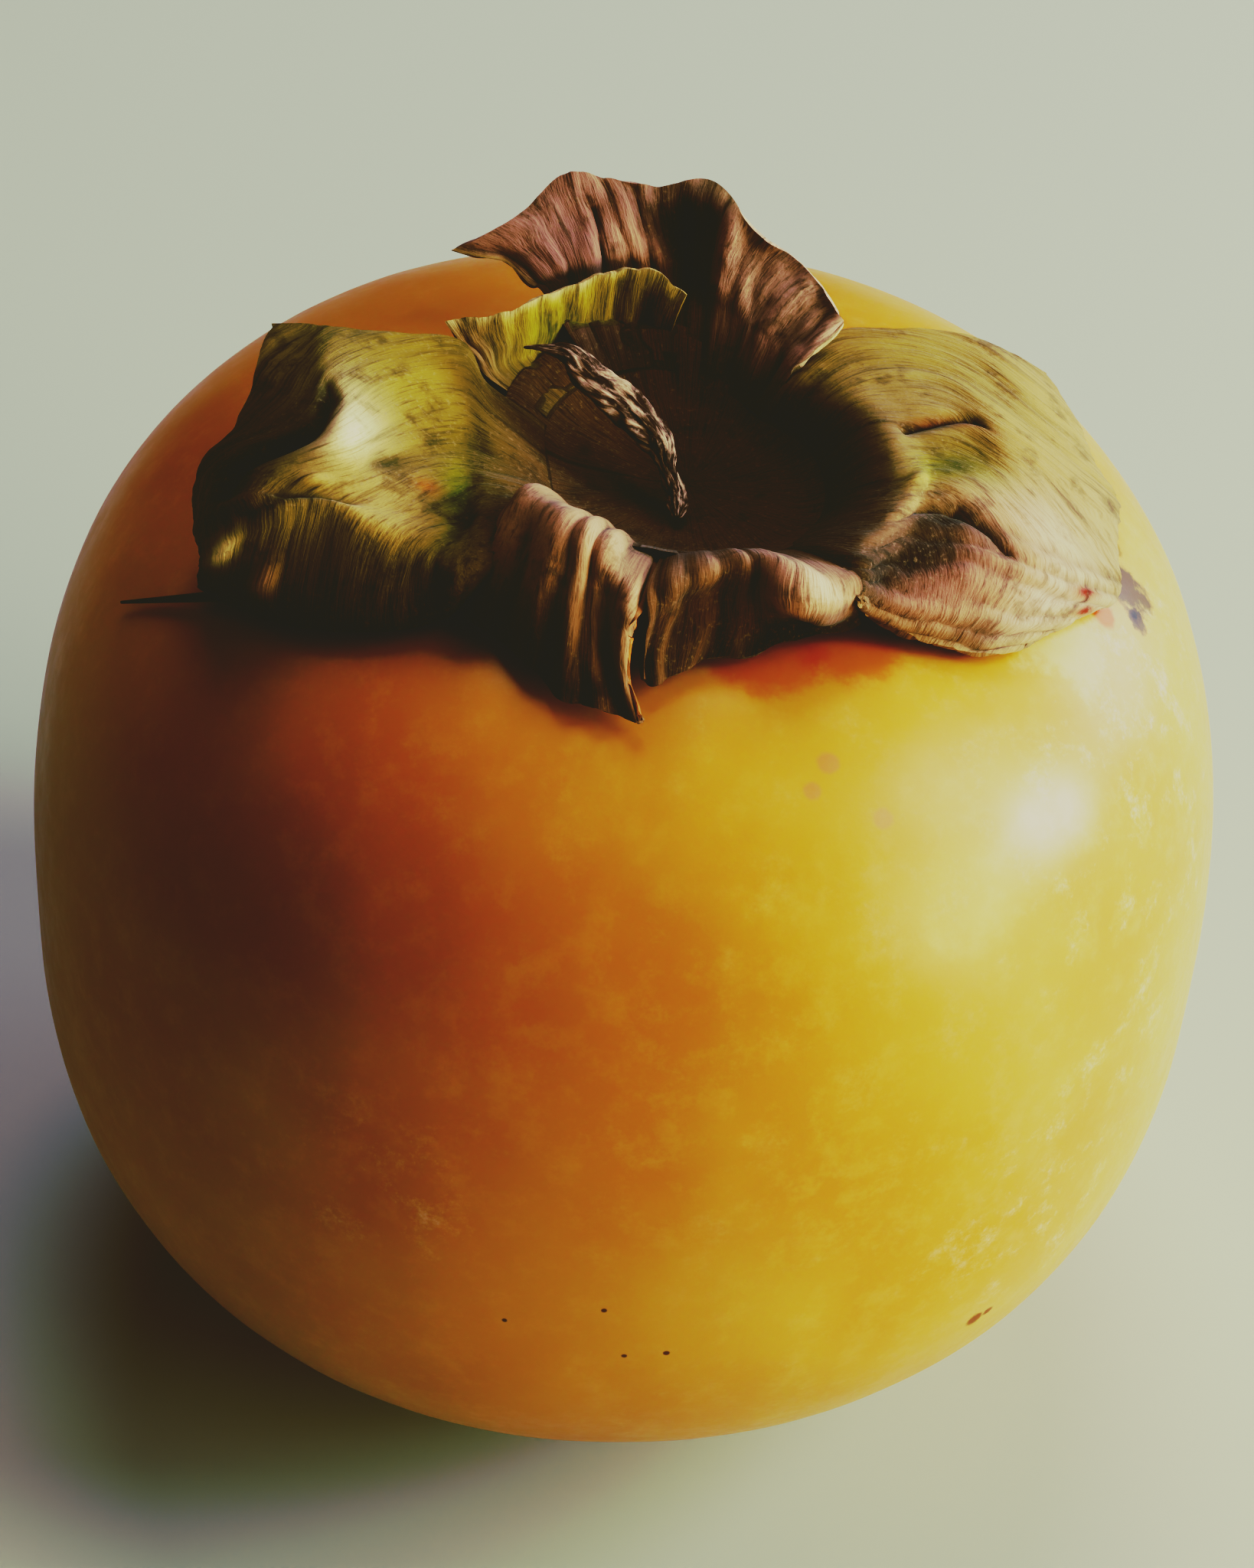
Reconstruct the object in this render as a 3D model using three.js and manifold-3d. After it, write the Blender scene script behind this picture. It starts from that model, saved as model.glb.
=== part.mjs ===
import * as THREE from 'three';
import { mergeVertices } from 'three/addons/utils/BufferGeometryUtils.js';
import Module from 'manifold-3d';

// A ripe persimmon as picked, standing with its calyx up.
// Millimetres, +Z up, origin at the centre of the flat spot that it rests on.

const wasm = await Module();
wasm.setup();

// Fruit: the girth, the height above and below the widest level, and how full each half is.
const girth = 80;
const upperHeight = 39.8;
const lowerHeight = 35;
const upperFullness = 3.08;
const lowerFullness = 2.04;
const restingFlatDepth = 1;
const cornerFullness = 0.01;
const cornerTurn = 0.06;
const basinDepth = 4.5;
const basinWidth = 13;
const fruitColumns = 56;
const fruitRows = 32;
const widestReach = 0.998;
const slopeStep = 0.05;
const mergeTolerance = 1e-5;

// Calyx: its hub on the fruit, the blade of its lobes and the bowl that they grow from.
const hub = { x: 3, y: -1.5 };
const bladeThickness = 0.7;
const bladeClearance = 0.4;
const bowlThickness = 1.1;
const bowlFloorLift = 1;
const bowlFloorShare = 0.58;
const bowlRootShare = 0.86;
const bowlCurve = 1.5;
const bowlColumns = 36;
const bowlRings = 6;

// The rim of the bowl, as azimuth in degrees, radius from the hub and lift above the skin.
const bowlRim = [
  [0, 12, 4.2],
  [25, 10.6, 3.8],
  [47, 10, 3.4],
  [68, 10.9, 3.8],
  [85, 12, 4.2],
  [105, 13.2, 4.4],
  [135, 13.8, 3.4],
  [163, 13.6, 3],
  [192, 12.9, 3.2],
  [215, 14, 3.4],
  [235, 15, 5.2],
  [255, 15.4, 5.6],
  [275, 15.4, 5.5],
  [300, 16, 5],
  [323, 14.6, 4.6],
  [343, 13, 4.4],
];

// Each lobe and flap is a net of points, row by row across the blade and from its base to its margin.
// A point is azimuth in degrees, radius from the hub and lift above the skin.
// The margin wave is the share of the blade's length that its waved edge takes away.
const lobes = [
  {
    name: 'left lobe',
    across: 16,
    along: 15,
    marginWave: 0.03,
    waves: 3,
    net: [
      [[166, 13.8, 3], [160, 16, 4.3], [168, 18.8, 5.5], [172, 21.5, 6.6], [172, 23, 7], [172, 24.8, 7.2]],
      [[185, 12.7, 3.2], [175, 15, 3.6], [182, 18.1, 5.6], [187, 20.9, 7.4], [183, 22.5, 7.2], [179, 24.8, 7]],
      [[203, 13.1, 3.1], [196, 15.1, 3.2], [198, 18.5, 5.2], [201, 21.4, 7.6], [196, 23.4, 7.4], [189, 26.1, 6.2]],
      [[212, 14.1, 3.1], [208, 15.9, 3.2], [207, 19.2, 4.8], [206, 22.4, 6.8], [200, 25.4, 7.4], [192, 28.1, 5.2]],
      [[221, 15.5, 3.3], [221, 17.7, 3.6], [215, 20.6, 4.8], [208, 23.9, 6.6], [204, 26.9, 7.4], [199, 29.3, 4.8]],
      [[233, 19.7, 4.2], [227, 20.8, 4.4], [221, 22.1, 4.8], [212, 23.9, 6.2], [209, 26.4, 6.8], [205, 29.3, 5.2]],
      [[231, 20, 1.8], [229, 22.4, 1], [223, 25.1, 1], [215, 27.7, 1], [207, 29.5, 1], [200, 31.1, 1]],
    ],
  },
  {
    name: 'back lobe',
    across: 21,
    along: 9,
    marginWave: 0.04,
    waves: 4,
    net: [
      [[131, 15.3, 4.5], [134, 16.2, 5.2], [136, 17.5, 6], [141, 18.5, 6.5], [144, 19.4, 7]],
      [[126, 15, 4.5], [128, 15.7, 6], [130, 16.8, 7], [131, 17.3, 8], [133, 17.9, 8.5]],
      [[118, 14.6, 4.5], [119, 15.3, 6.5], [119, 16.7, 8], [120, 17.6, 9.3], [119, 18.6, 10]],
      [[107, 14.6, 4.5], [109, 15.1, 6.5], [110, 16.1, 8], [111, 16.8, 9.3], [112, 17.7, 10]],
      [[97, 13.7, 4.5], [98, 14.7, 6], [100, 15.7, 7.5], [101, 16.3, 9], [101, 17, 9.8]],
      [[89, 13, 4.2], [90, 14.1, 6], [90, 15.4, 7.8], [90, 16.2, 9.3], [89, 17.4, 10]],
      [[81, 12.1, 4], [81, 13.1, 5.5], [80, 14, 6.8], [78, 14.6, 8], [76, 14.9, 9]],
      [[70, 11.2, 3.8], [70, 12.3, 4.8], [68, 13.3, 6], [65, 14.1, 7], [62, 14.6, 7.8]],
      [[57, 10.3, 3.5], [56, 11.3, 4.2], [54, 12.5, 5], [52, 13.4, 5.8], [49, 13.9, 6.3]],
      [[48, 9.9, 3.4], [47, 10.7, 3.8], [46, 11.8, 4.3], [45, 13.1, 4.8], [46, 14.1, 5.2]],
    ],
  },
  {
    name: 'back flap',
    across: 14,
    along: 7,
    marginWave: 0.06,
    waves: 4,
    net: [
      [[162, 13.5, 2.5], [159, 15.2, 3.5], [159, 16.2, 4.2], [157, 17.4, 5]],
      [[156, 13.6, 2.5], [154, 14.5, 3.8], [154, 15, 4.8], [152, 15.4, 5.6]],
      [[145, 13.3, 2.3], [144, 13.7, 3.8], [144, 14, 5.2], [142, 14.4, 6]],
      [[132, 13.2, 2.2], [131, 13.5, 3.8], [131, 13.6, 5.4], [129, 14, 6.4]],
      [[120, 12.7, 2], [119, 13, 3.8], [118, 13.4, 5.5], [117, 13.7, 6.8]],
      [[109, 12.1, 2], [108, 12.5, 3.8], [107, 12.8, 5.6], [105, 13.3, 7]],
      [[98, 11.3, 2], [97, 11.7, 3.6], [95, 12.2, 4.8], [93, 12.6, 5.6]],
    ],
  },
  {
    name: 'right lobe',
    across: 17,
    along: 14,
    marginWave: 0.03,
    waves: 4,
    net: [
      [[49, 10, 3.2], [51, 14.3, 3], [44, 17.1, 3], [37, 20.6, 3], [32, 23, 3], [28, 25.4, 2.6]],
      [[25, 10.2, 4], [31, 13.6, 3.5], [30, 17, 3], [24, 19.5, 3], [18, 21.8, 3], [18, 25.3, 2.1]],
      [[4, 11.5, 4.5], [8, 14, 4], [11, 16.7, 3.5], [7, 19, 3.5], [8, 22.5, 2.5], [10, 26.2, 1.6]],
      [[-21, 13.5, 4.5], [-9, 15, 3.6], [-3, 17.3, 2.9], [-3, 19.8, 2.9], [-1, 23.2, 2.1], [5, 27.3, 1.2]],
      [[-36, 14.9, 4.8], [-25, 15.7, 4.2], [-19, 17.7, 4], [-17, 20.6, 3.4], [-11, 23.4, 2], [-6, 26.8, 1]],
      [[-56, 16.8, 5.5], [-41, 16.7, 4], [-32, 18.4, 3.6], [-26, 21.4, 3], [-19, 24.2, 1.8], [-13, 27.2, 1]],
      [[-59, 17.8, 5], [-53, 18.3, 3.5], [-45, 19.4, 2.6], [-38, 21, 2.2], [-32, 23, 1.6], [-23, 25.3, 1]],
      [[-60, 18.3, 4.5], [-56, 18.4, 2.5], [-50, 19.9, 1.2], [-45, 21.7, 1], [-40, 23.3, 1], [-33, 24.4, 1]],
    ],
  },
  {
    name: 'front lobe',
    across: 16,
    along: 9,
    marginWave: 0.04,
    waves: 3,
    net: [
      [[224, 14.8, 4.2], [226, 16.5, 3.6], [227, 18.4, 2.6], [228, 19.8, 1.6]],
      [[227, 14.5, 5.4], [231, 17, 4.8], [233, 19.1, 3.2], [233, 20.8, 1]],
      [[243, 16, 6.6], [244, 18.4, 5.6], [245, 20.4, 3.9], [245, 21.8, 1]],
      [[248, 16.3, 6.8], [250, 18.5, 5.6], [252, 21, 3.8], [253, 23.1, 1]],
      [[253, 16.4, 6.2], [254, 18.5, 5], [256, 20.8, 2.9], [259, 23.4, 1]],
      [[260, 18.2, 5.4], [260, 20.1, 4.2], [261, 21.7, 2.5], [264, 23.4, 1]],
      [[262, 18.8, 5], [261, 20.4, 3.8], [262, 21.9, 2.2], [265, 23.5, 1]],
    ],
  },
  {
    name: 'front flap',
    across: 16,
    along: 8,
    marginWave: 0.05,
    waves: 5,
    net: [
      [[263, 18.3, 5.5], [263, 19.5, 4], [263, 20, 2], [264, 20.9, 1]],
      [[268, 17.6, 6], [267, 18.3, 4.3], [266, 19.1, 2.3], [267, 21, 1]],
      [[276, 16.6, 6], [274, 17.2, 4.5], [274, 18, 2.3], [272, 19.4, 1]],
      [[283, 16.3, 6], [283, 17.2, 4.4], [283, 17.6, 2.2], [282, 18.8, 1]],
      [[288, 16.8, 6], [288, 18.2, 5.4], [289, 18.3, 3.4], [291, 18.1, 1]],
      [[293, 17.5, 5.8], [293, 18.7, 5.2], [294, 19, 3], [298, 18.2, 1]],
      [[301, 17.7, 5.2], [302, 18.2, 4.2], [304, 18.1, 2.2], [305, 18.2, 1]],
    ],
  },
];

// Stalk remnant: its line from the bowl's floor to the dry tip, and its half widths along the line.
const stalkLine = [
  [264, 6, 2.2],
  [262, 4.8, 2.5],
  [257, 3.7, 2.9],
  [236, 2.8, 3.8],
  [202, 2.7, 5],
  [175, 5.2, 6.2],
  [170, 8, 7],
  [163, 9.9, 7.4],
  [164, 11.4, 7.2],
  [165, 12.4, 6.8],
];
const stalkHalfWidths = [0.3, 0.6, 0.6, 0.55, 1, 1.4, 1.25, 0.8, 0.3, 0.12];
const stalkFlatness = 0.6;
const stalkSteps = 26;
const stalkSides = 10;
const stalkRidge = 0.14;
const stalkRidges = 3;
const stalkTwist = 5;

const radians = THREE.MathUtils.degToRad;
const widestLevel = lowerHeight - restingFlatDepth;

// Radius of the fruit's widest outline at an azimuth: it is a little fuller at its four corners.
function outlineRadius(azimuth) {
  const flankRadius = girth / 2 / (1 - cornerFullness);
  return flankRadius * (1 - cornerFullness * Math.cos(4 * (azimuth - cornerTurn)));
}

// How far the basin round the calyx lowers the skin at a place in plan.
function basinDrop(x, y) {
  const fromHub = Math.hypot(x - hub.x, y - hub.y) / basinWidth;
  return basinDepth * Math.exp(-fromHub * fromHub);
}

// Height of the fruit's upper skin above the ground at a place in plan.
function skinHeight(x, y) {
  const reach = Math.min(Math.hypot(x, y) / outlineRadius(Math.atan2(y, x)), widestReach);
  const dome = upperHeight * (1 - reach ** upperFullness) ** (1 / upperFullness);
  return widestLevel + dome - basinDrop(x, y);
}

// Point at a lift above the skin, measured square to the skin.
function abovePoint(x, y, lift) {
  const slopeX = (skinHeight(x + slopeStep, y) - skinHeight(x - slopeStep, y)) / (2 * slopeStep);
  const slopeY = (skinHeight(x, y + slopeStep) - skinHeight(x, y - slopeStep)) / (2 * slopeStep);
  const normal = new THREE.Vector3(-slopeX, -slopeY, 1).normalize();
  return new THREE.Vector3(x, y, skinHeight(x, y)).addScaledVector(normal, lift);
}

// Plan position and lift of a net point given round the hub.
function planPoint([azimuth, radius, lift]) {
  const angle = radians(azimuth);
  return [hub.x + radius * Math.cos(angle), hub.y + radius * Math.sin(angle), lift];
}

// Value of a smooth curve through a list of points, at a share of its length from 0 to 1.
function smoothAlong(points, share) {
  const position = share * (points.length - 1);
  const start = Math.min(Math.floor(position), points.length - 2);
  const t = position - start;
  const [a, b, c, d] = [-1, 0, 1, 2].map((offset) => {
    const index = Math.min(Math.max(start + offset, 0), points.length - 1);
    return points[index];
  });
  return b.map((value, i) => {
    const pull = (c[i] - a[i]) * t;
    const bend = (2 * a[i] - 5 * value + 4 * c[i] - d[i]) * t * t;
    const swing = (3 * value - a[i] - 3 * c[i] + d[i]) * t * t * t;
    return value + 0.5 * (pull + bend + swing);
  });
}

// Radius and lift of the bowl's rim at an azimuth, smooth all the way round.
function rimAt(azimuth) {
  const turn = ((azimuth % 360) + 360) % 360;
  const wrapped = [-2, -1, 0, 1].map((lap) => bowlRim.map(([a, r, l]) => [a + lap * 360, r, l])).flat();
  const next = wrapped.findIndex(([a]) => a > turn);
  const [a, b, c, d] = wrapped.slice(next - 2, next + 2);
  const span = c[0] - b[0];
  const share = (1 + (turn - b[0]) / span) / 3;
  const [, radius, lift] = smoothAlong([a, b, c, d], share);
  return { radius, lift };
}

// Point of the bowl's middle surface, as azimuth, radius and lift, at a share of the way to its rim.
function bowlPoint(azimuth, share) {
  const rim = rimAt(azimuth);
  const climb = Math.max(share - bowlFloorShare, 0) / (1 - bowlFloorShare);
  return [azimuth, rim.radius * share, bowlFloorLift + (rim.lift - bowlFloorLift) * climb ** bowlCurve];
}

// Closed solid of a given thickness round a grid of middle points, split alike on both faces.
function bladeSolid(grid, thickness) {
  const rows = grid.length;
  const columns = grid[0].length;
  const at = (row, column) => grid[THREE.MathUtils.clamp(row, 0, rows - 1)][
    THREE.MathUtils.clamp(column, 0, columns - 1)];
  const positions = [];
  for (const side of [1, -1]) {
    for (let row = 0; row < rows; row++) {
      for (let column = 0; column < columns; column++) {
        const across = at(row + 1, column).clone().sub(at(row - 1, column));
        const along = at(row, column + 1).clone().sub(at(row, column - 1));
        const normal = along.cross(across).normalize();
        positions.push(...at(row, column).clone().addScaledVector(normal, side * thickness / 2));
      }
    }
  }
  const index = [];
  const count = rows * columns;
  const vertex = (row, column) => row * columns + column;
  for (let row = 0; row < rows - 1; row++) {
    for (let column = 0; column < columns - 1; column++) {
      const corners = [
        vertex(row, column), vertex(row, column + 1), vertex(row + 1, column + 1), vertex(row + 1, column)];
      index.push(corners[0], corners[1], corners[2], corners[0], corners[2], corners[3]);
      index.push(...[corners[0], corners[2], corners[1], corners[0], corners[3], corners[2]].map((i) => i + count));
    }
  }
  const border = [];
  for (let column = 0; column < columns - 1; column++) border.push(vertex(0, column));
  for (let row = 0; row < rows - 1; row++) border.push(vertex(row, columns - 1));
  for (let column = columns - 1; column > 0; column--) border.push(vertex(rows - 1, column));
  for (let row = rows - 1; row > 0; row--) border.push(vertex(row, 0));
  border.forEach((near, i) => {
    const far = border[(i + 1) % border.length];
    index.push(near, near + count, far + count, near, far + count, far);
  });
  return outwardSolid(positions, index);
}

// Solid of a triangle mesh, with its faces turned outward.
function outwardSolid(positions, index) {
  let volume = 0;
  const corner = (i) => new THREE.Vector3().fromArray(positions, 3 * i);
  for (let i = 0; i < index.length; i += 3) {
    volume += corner(index[i]).dot(corner(index[i + 1]).cross(corner(index[i + 2])));
  }
  const ordered = volume > 0 ? index : index.slice().reverse();
  return new wasm.Manifold(new wasm.Mesh({
    numProp: 3,
    vertProperties: new Float32Array(positions),
    triVerts: new Uint32Array(ordered),
  }));
}

// Middle surface of a lobe: its net with a root inside the bowl's wall, and a waved margin.
function lobeGrid({ net, across, along, marginWave, waves }) {
  const rows = net.map((row) => {
    const root = bowlPoint(row[0][0], bowlRootShare);
    return [root, ...row].map(planPoint);
  });
  const grid = [];
  for (let i = 0; i < across; i++) {
    const v = i / (across - 1);
    const reach = 1 - marginWave * (0.5 + 0.5 * Math.cos(2 * Math.PI * waves * v));
    const line = [];
    for (let j = 0; j < along; j++) {
      const u = reach * j / (along - 1);
      const [x, y, lift] = smoothAlong(rows.map((row) => smoothAlong(row, u)), v);
      line.push(abovePoint(x, y, Math.max(lift, bladeClearance + bladeThickness / 2)));
    }
    grid.push(line);
  }
  return grid;
}

// Closed solid of the bowl: rings round the hub on both faces, joined over the rim.
function bowlSolid() {
  const positions = [];
  const index = [];
  const ringStart = (side, ring) => side * (1 + bowlRings * bowlColumns) + 1 + (ring - 1) * bowlColumns;
  for (const side of [0, 1]) {
    const shift = (0.5 - side) * bowlThickness;
    positions.push(...abovePoint(hub.x, hub.y, bowlFloorLift + shift));
    for (let ring = 1; ring <= bowlRings; ring++) {
      for (let column = 0; column < bowlColumns; column++) {
        const [azimuth, radius, lift] = bowlPoint(360 * column / bowlColumns, ring / bowlRings);
        positions.push(...abovePoint(...planPoint([azimuth, radius, lift + shift])));
      }
    }
  }
  for (let column = 0; column < bowlColumns; column++) {
    const next = (column + 1) % bowlColumns;
    for (const side of [0, 1]) {
      const centre = side * (1 + bowlRings * bowlColumns);
      const faces = [[centre, ringStart(side, 1) + column, ringStart(side, 1) + next]];
      for (let ring = 1; ring < bowlRings; ring++) {
        const inner = ringStart(side, ring);
        const outer = ringStart(side, ring + 1);
        faces.push([inner + column, outer + column, outer + next]);
        faces.push([inner + column, outer + next, inner + next]);
      }
      faces.forEach((face) => index.push(...(side === 0 ? face : face.reverse())));
    }
    const top = ringStart(0, bowlRings);
    const under = ringStart(1, bowlRings);
    index.push(top + column, under + column, under + next, top + column, under + next, top + next);
  }
  return outwardSolid(positions, index);
}

// The triangles of a solid as three.js geometry.
function solidGeometry(solid) {
  const mesh = solid.getMesh();
  const geometry = new THREE.BufferGeometry();
  geometry.setAttribute('position', new THREE.BufferAttribute(mesh.vertProperties, 3));
  geometry.setIndex(new THREE.BufferAttribute(mesh.triVerts, 1));
  return geometry;
}

// Flesh and skin: a sphere drawn out to the fruit's full shoulders, with the basin and the flat spot.
function fruitGeometry() {
  const sphere = new THREE.SphereGeometry(1, fruitColumns, fruitRows).rotateX(Math.PI / 2);
  sphere.deleteAttribute('normal');
  sphere.deleteAttribute('uv');
  const geometry = mergeVertices(sphere, mergeTolerance);
  const position = geometry.attributes.position;
  for (let i = 0; i < position.count; i++) {
    const direction = new THREE.Vector3().fromBufferAttribute(position, i).normalize();
    const upper = direction.z >= 0;
    const fullness = upper ? upperFullness : lowerFullness;
    const level = Math.hypot(direction.x, direction.y);
    const size = (level ** fullness + Math.abs(direction.z) ** fullness) ** (-1 / fullness);
    const radius = outlineRadius(Math.atan2(direction.y, direction.x)) * size;
    const x = radius * direction.x;
    const y = radius * direction.y;
    const dome = direction.z * size * (upper ? upperHeight : lowerHeight);
    const z = widestLevel + dome - (upper ? basinDrop(x, y) : 0);
    position.setXYZ(i, x, y, Math.max(z, 0));
  }
  return geometry;
}

// Calyx: the bowl and its lobes and flaps, grown together as one piece with no pocket shut inside.
function calyxGeometry() {
  const blades = lobes.map((lobe) => bladeSolid(lobeGrid(lobe), bladeThickness));
  const grown = blades.reduce((whole, blade) => whole.add(blade), bowlSolid());
  const [outside] = grown.decompose().sort((a, b) => b.volume() - a.volume());
  return solidGeometry(outside);
}

// Stalk remnant: a flattened, ridged tube along its line, closed at both ends.
function stalkGeometry() {
  const line = new THREE.CatmullRomCurve3(stalkLine.map((point) => abovePoint(...planPoint(point))));
  const widths = stalkHalfWidths.map((width) => [width]);
  const frames = line.computeFrenetFrames(stalkSteps);
  const positions = [];
  const index = [];
  for (let step = 0; step <= stalkSteps; step++) {
    const share = step / stalkSteps;
    const centre = line.getPoint(share);
    const [halfWidth] = smoothAlong(widths, share);
    for (let side = 0; side < stalkSides; side++) {
      const angle = 2 * Math.PI * side / stalkSides;
      const ridged = halfWidth * (1 + stalkRidge * Math.cos(stalkRidges * angle + stalkTwist * share));
      positions.push(...centre.clone()
        .addScaledVector(frames.normals[step], ridged * Math.cos(angle))
        .addScaledVector(frames.binormals[step], ridged * stalkFlatness * Math.sin(angle)));
    }
  }
  const rootCentre = positions.length / 3;
  positions.push(...line.getPoint(0), ...line.getPoint(1));
  for (let side = 0; side < stalkSides; side++) {
    const next = (side + 1) % stalkSides;
    for (let step = 0; step < stalkSteps; step++) {
      const near = step * stalkSides;
      const far = near + stalkSides;
      index.push(near + side, near + next, far + next, near + side, far + next, far + side);
    }
    const last = stalkSteps * stalkSides;
    index.push(rootCentre, next, side, rootCentre + 1, last + side, last + next);
  }
  return solidGeometry(outwardSolid(positions, index));
}

const skin = new THREE.MeshStandardMaterial({ color: 0xd9791e, roughness: 0.38, metalness: 0 });
const dryGreen = new THREE.MeshStandardMaterial({ color: 0x8a7c3c, roughness: 0.85, metalness: 0 });
const dryStalk = new THREE.MeshStandardMaterial({ color: 0x6e5443, roughness: 0.9, metalness: 0 });

const fruit = new THREE.Mesh(fruitGeometry(), skin);
fruit.name = 'fruit';

const calyx = new THREE.Mesh(calyxGeometry(), dryGreen);
calyx.name = 'calyx';

const stalk = new THREE.Mesh(stalkGeometry(), dryStalk);
stalk.name = 'stalk';

const persimmon = new THREE.Group();
persimmon.add(fruit, calyx, stalk);

export default persimmon;
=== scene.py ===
"""A ripe persimmon that stands with its dried calyx up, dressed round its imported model.

The classes hold their sizes in millimetres, and every mesh is written in metres.
"""
import logging
import math
from dataclasses import dataclass
from typing import Any, Callable

import bmesh
import bpy
import numpy as np
from mathutils import Matrix, Vector, noise
from mathutils.kdtree import KDTree


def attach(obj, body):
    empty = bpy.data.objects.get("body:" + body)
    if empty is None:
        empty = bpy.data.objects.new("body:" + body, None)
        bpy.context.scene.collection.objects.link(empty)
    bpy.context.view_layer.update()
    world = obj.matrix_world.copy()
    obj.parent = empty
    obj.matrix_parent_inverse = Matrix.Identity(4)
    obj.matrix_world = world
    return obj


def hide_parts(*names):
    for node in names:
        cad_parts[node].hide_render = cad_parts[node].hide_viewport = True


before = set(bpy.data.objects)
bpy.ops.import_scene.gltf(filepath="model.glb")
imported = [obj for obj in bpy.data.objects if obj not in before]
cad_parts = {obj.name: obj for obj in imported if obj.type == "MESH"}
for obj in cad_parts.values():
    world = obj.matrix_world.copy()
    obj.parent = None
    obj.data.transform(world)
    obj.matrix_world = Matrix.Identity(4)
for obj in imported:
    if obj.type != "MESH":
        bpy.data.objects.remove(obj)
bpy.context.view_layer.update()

LOG = logging.getLogger("persimmon")
MM = 0.001
BODY = "root"

Pair = tuple[float, float]
Triple = tuple[float, float, float]
Colour = tuple[float, float, float, float]
Net = tuple[tuple[Triple, ...], ...]


def smooth_step(low: float, high: float, value: np.ndarray) -> np.ndarray:
    """Ease from 0 at low to 1 at high.

    Args:
        low: Where the step starts.
        high: Where the step ends.
        value: Values to ease.

    Returns:
        Eased shares from 0 to 1.
    """
    share = np.clip((value - low) / (high - low), 0.0, 1.0)
    return share * share * (3.0 - 2.0 * share)


def ripple(points: np.ndarray, size: float, octaves: int, seed: float) -> np.ndarray:
    """Smooth random field of about -1 to 1 at a set of points.

    Args:
        points: Places, one row each.
        size: Size of the largest features, in the points' unit.
        octaves: Number of ever finer layers.
        seed: Offset that picks another field.

    Returns:
        One value a point.
    """
    values = np.empty(len(points))
    for index, place in enumerate(points / size + seed):
        values[index] = noise.fractal(Vector(place), 1.0, 2.0, octaves, noise_basis="PERLIN_ORIGINAL")
    return values


def curve_weights(share: np.ndarray, count: int) -> tuple[np.ndarray, np.ndarray]:
    """Indices and weights of a smooth curve through evenly spaced points.

    Args:
        share: Place along the curve, from 0 to 1.
        count: Number of points.

    Returns:
        Four indices and four weights for each place.
    """
    position = share * (count - 1)
    start = np.minimum(np.floor(position).astype(int), count - 2)
    t = position - start
    index = np.clip(start[:, None] + np.arange(-1, 3)[None, :], 0, count - 1)
    weights = 0.5 * np.stack([
        -t + 2 * t ** 2 - t ** 3,
        2 - 5 * t ** 2 + 3 * t ** 3,
        t + 4 * t ** 2 - 3 * t ** 3,
        -t ** 2 + t ** 3,
    ], axis=1)
    return index, weights


def along_curve(points: np.ndarray, share: np.ndarray) -> np.ndarray:
    """Values of a smooth curve through a list of points.

    Args:
        points: Points of the curve, one row each.
        share: Places along the curve, from 0 to 1.

    Returns:
        One row of values for each place.
    """
    index, weights = curve_weights(share, len(points))
    return np.einsum("mk,mkd->md", weights, points[index])


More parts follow.
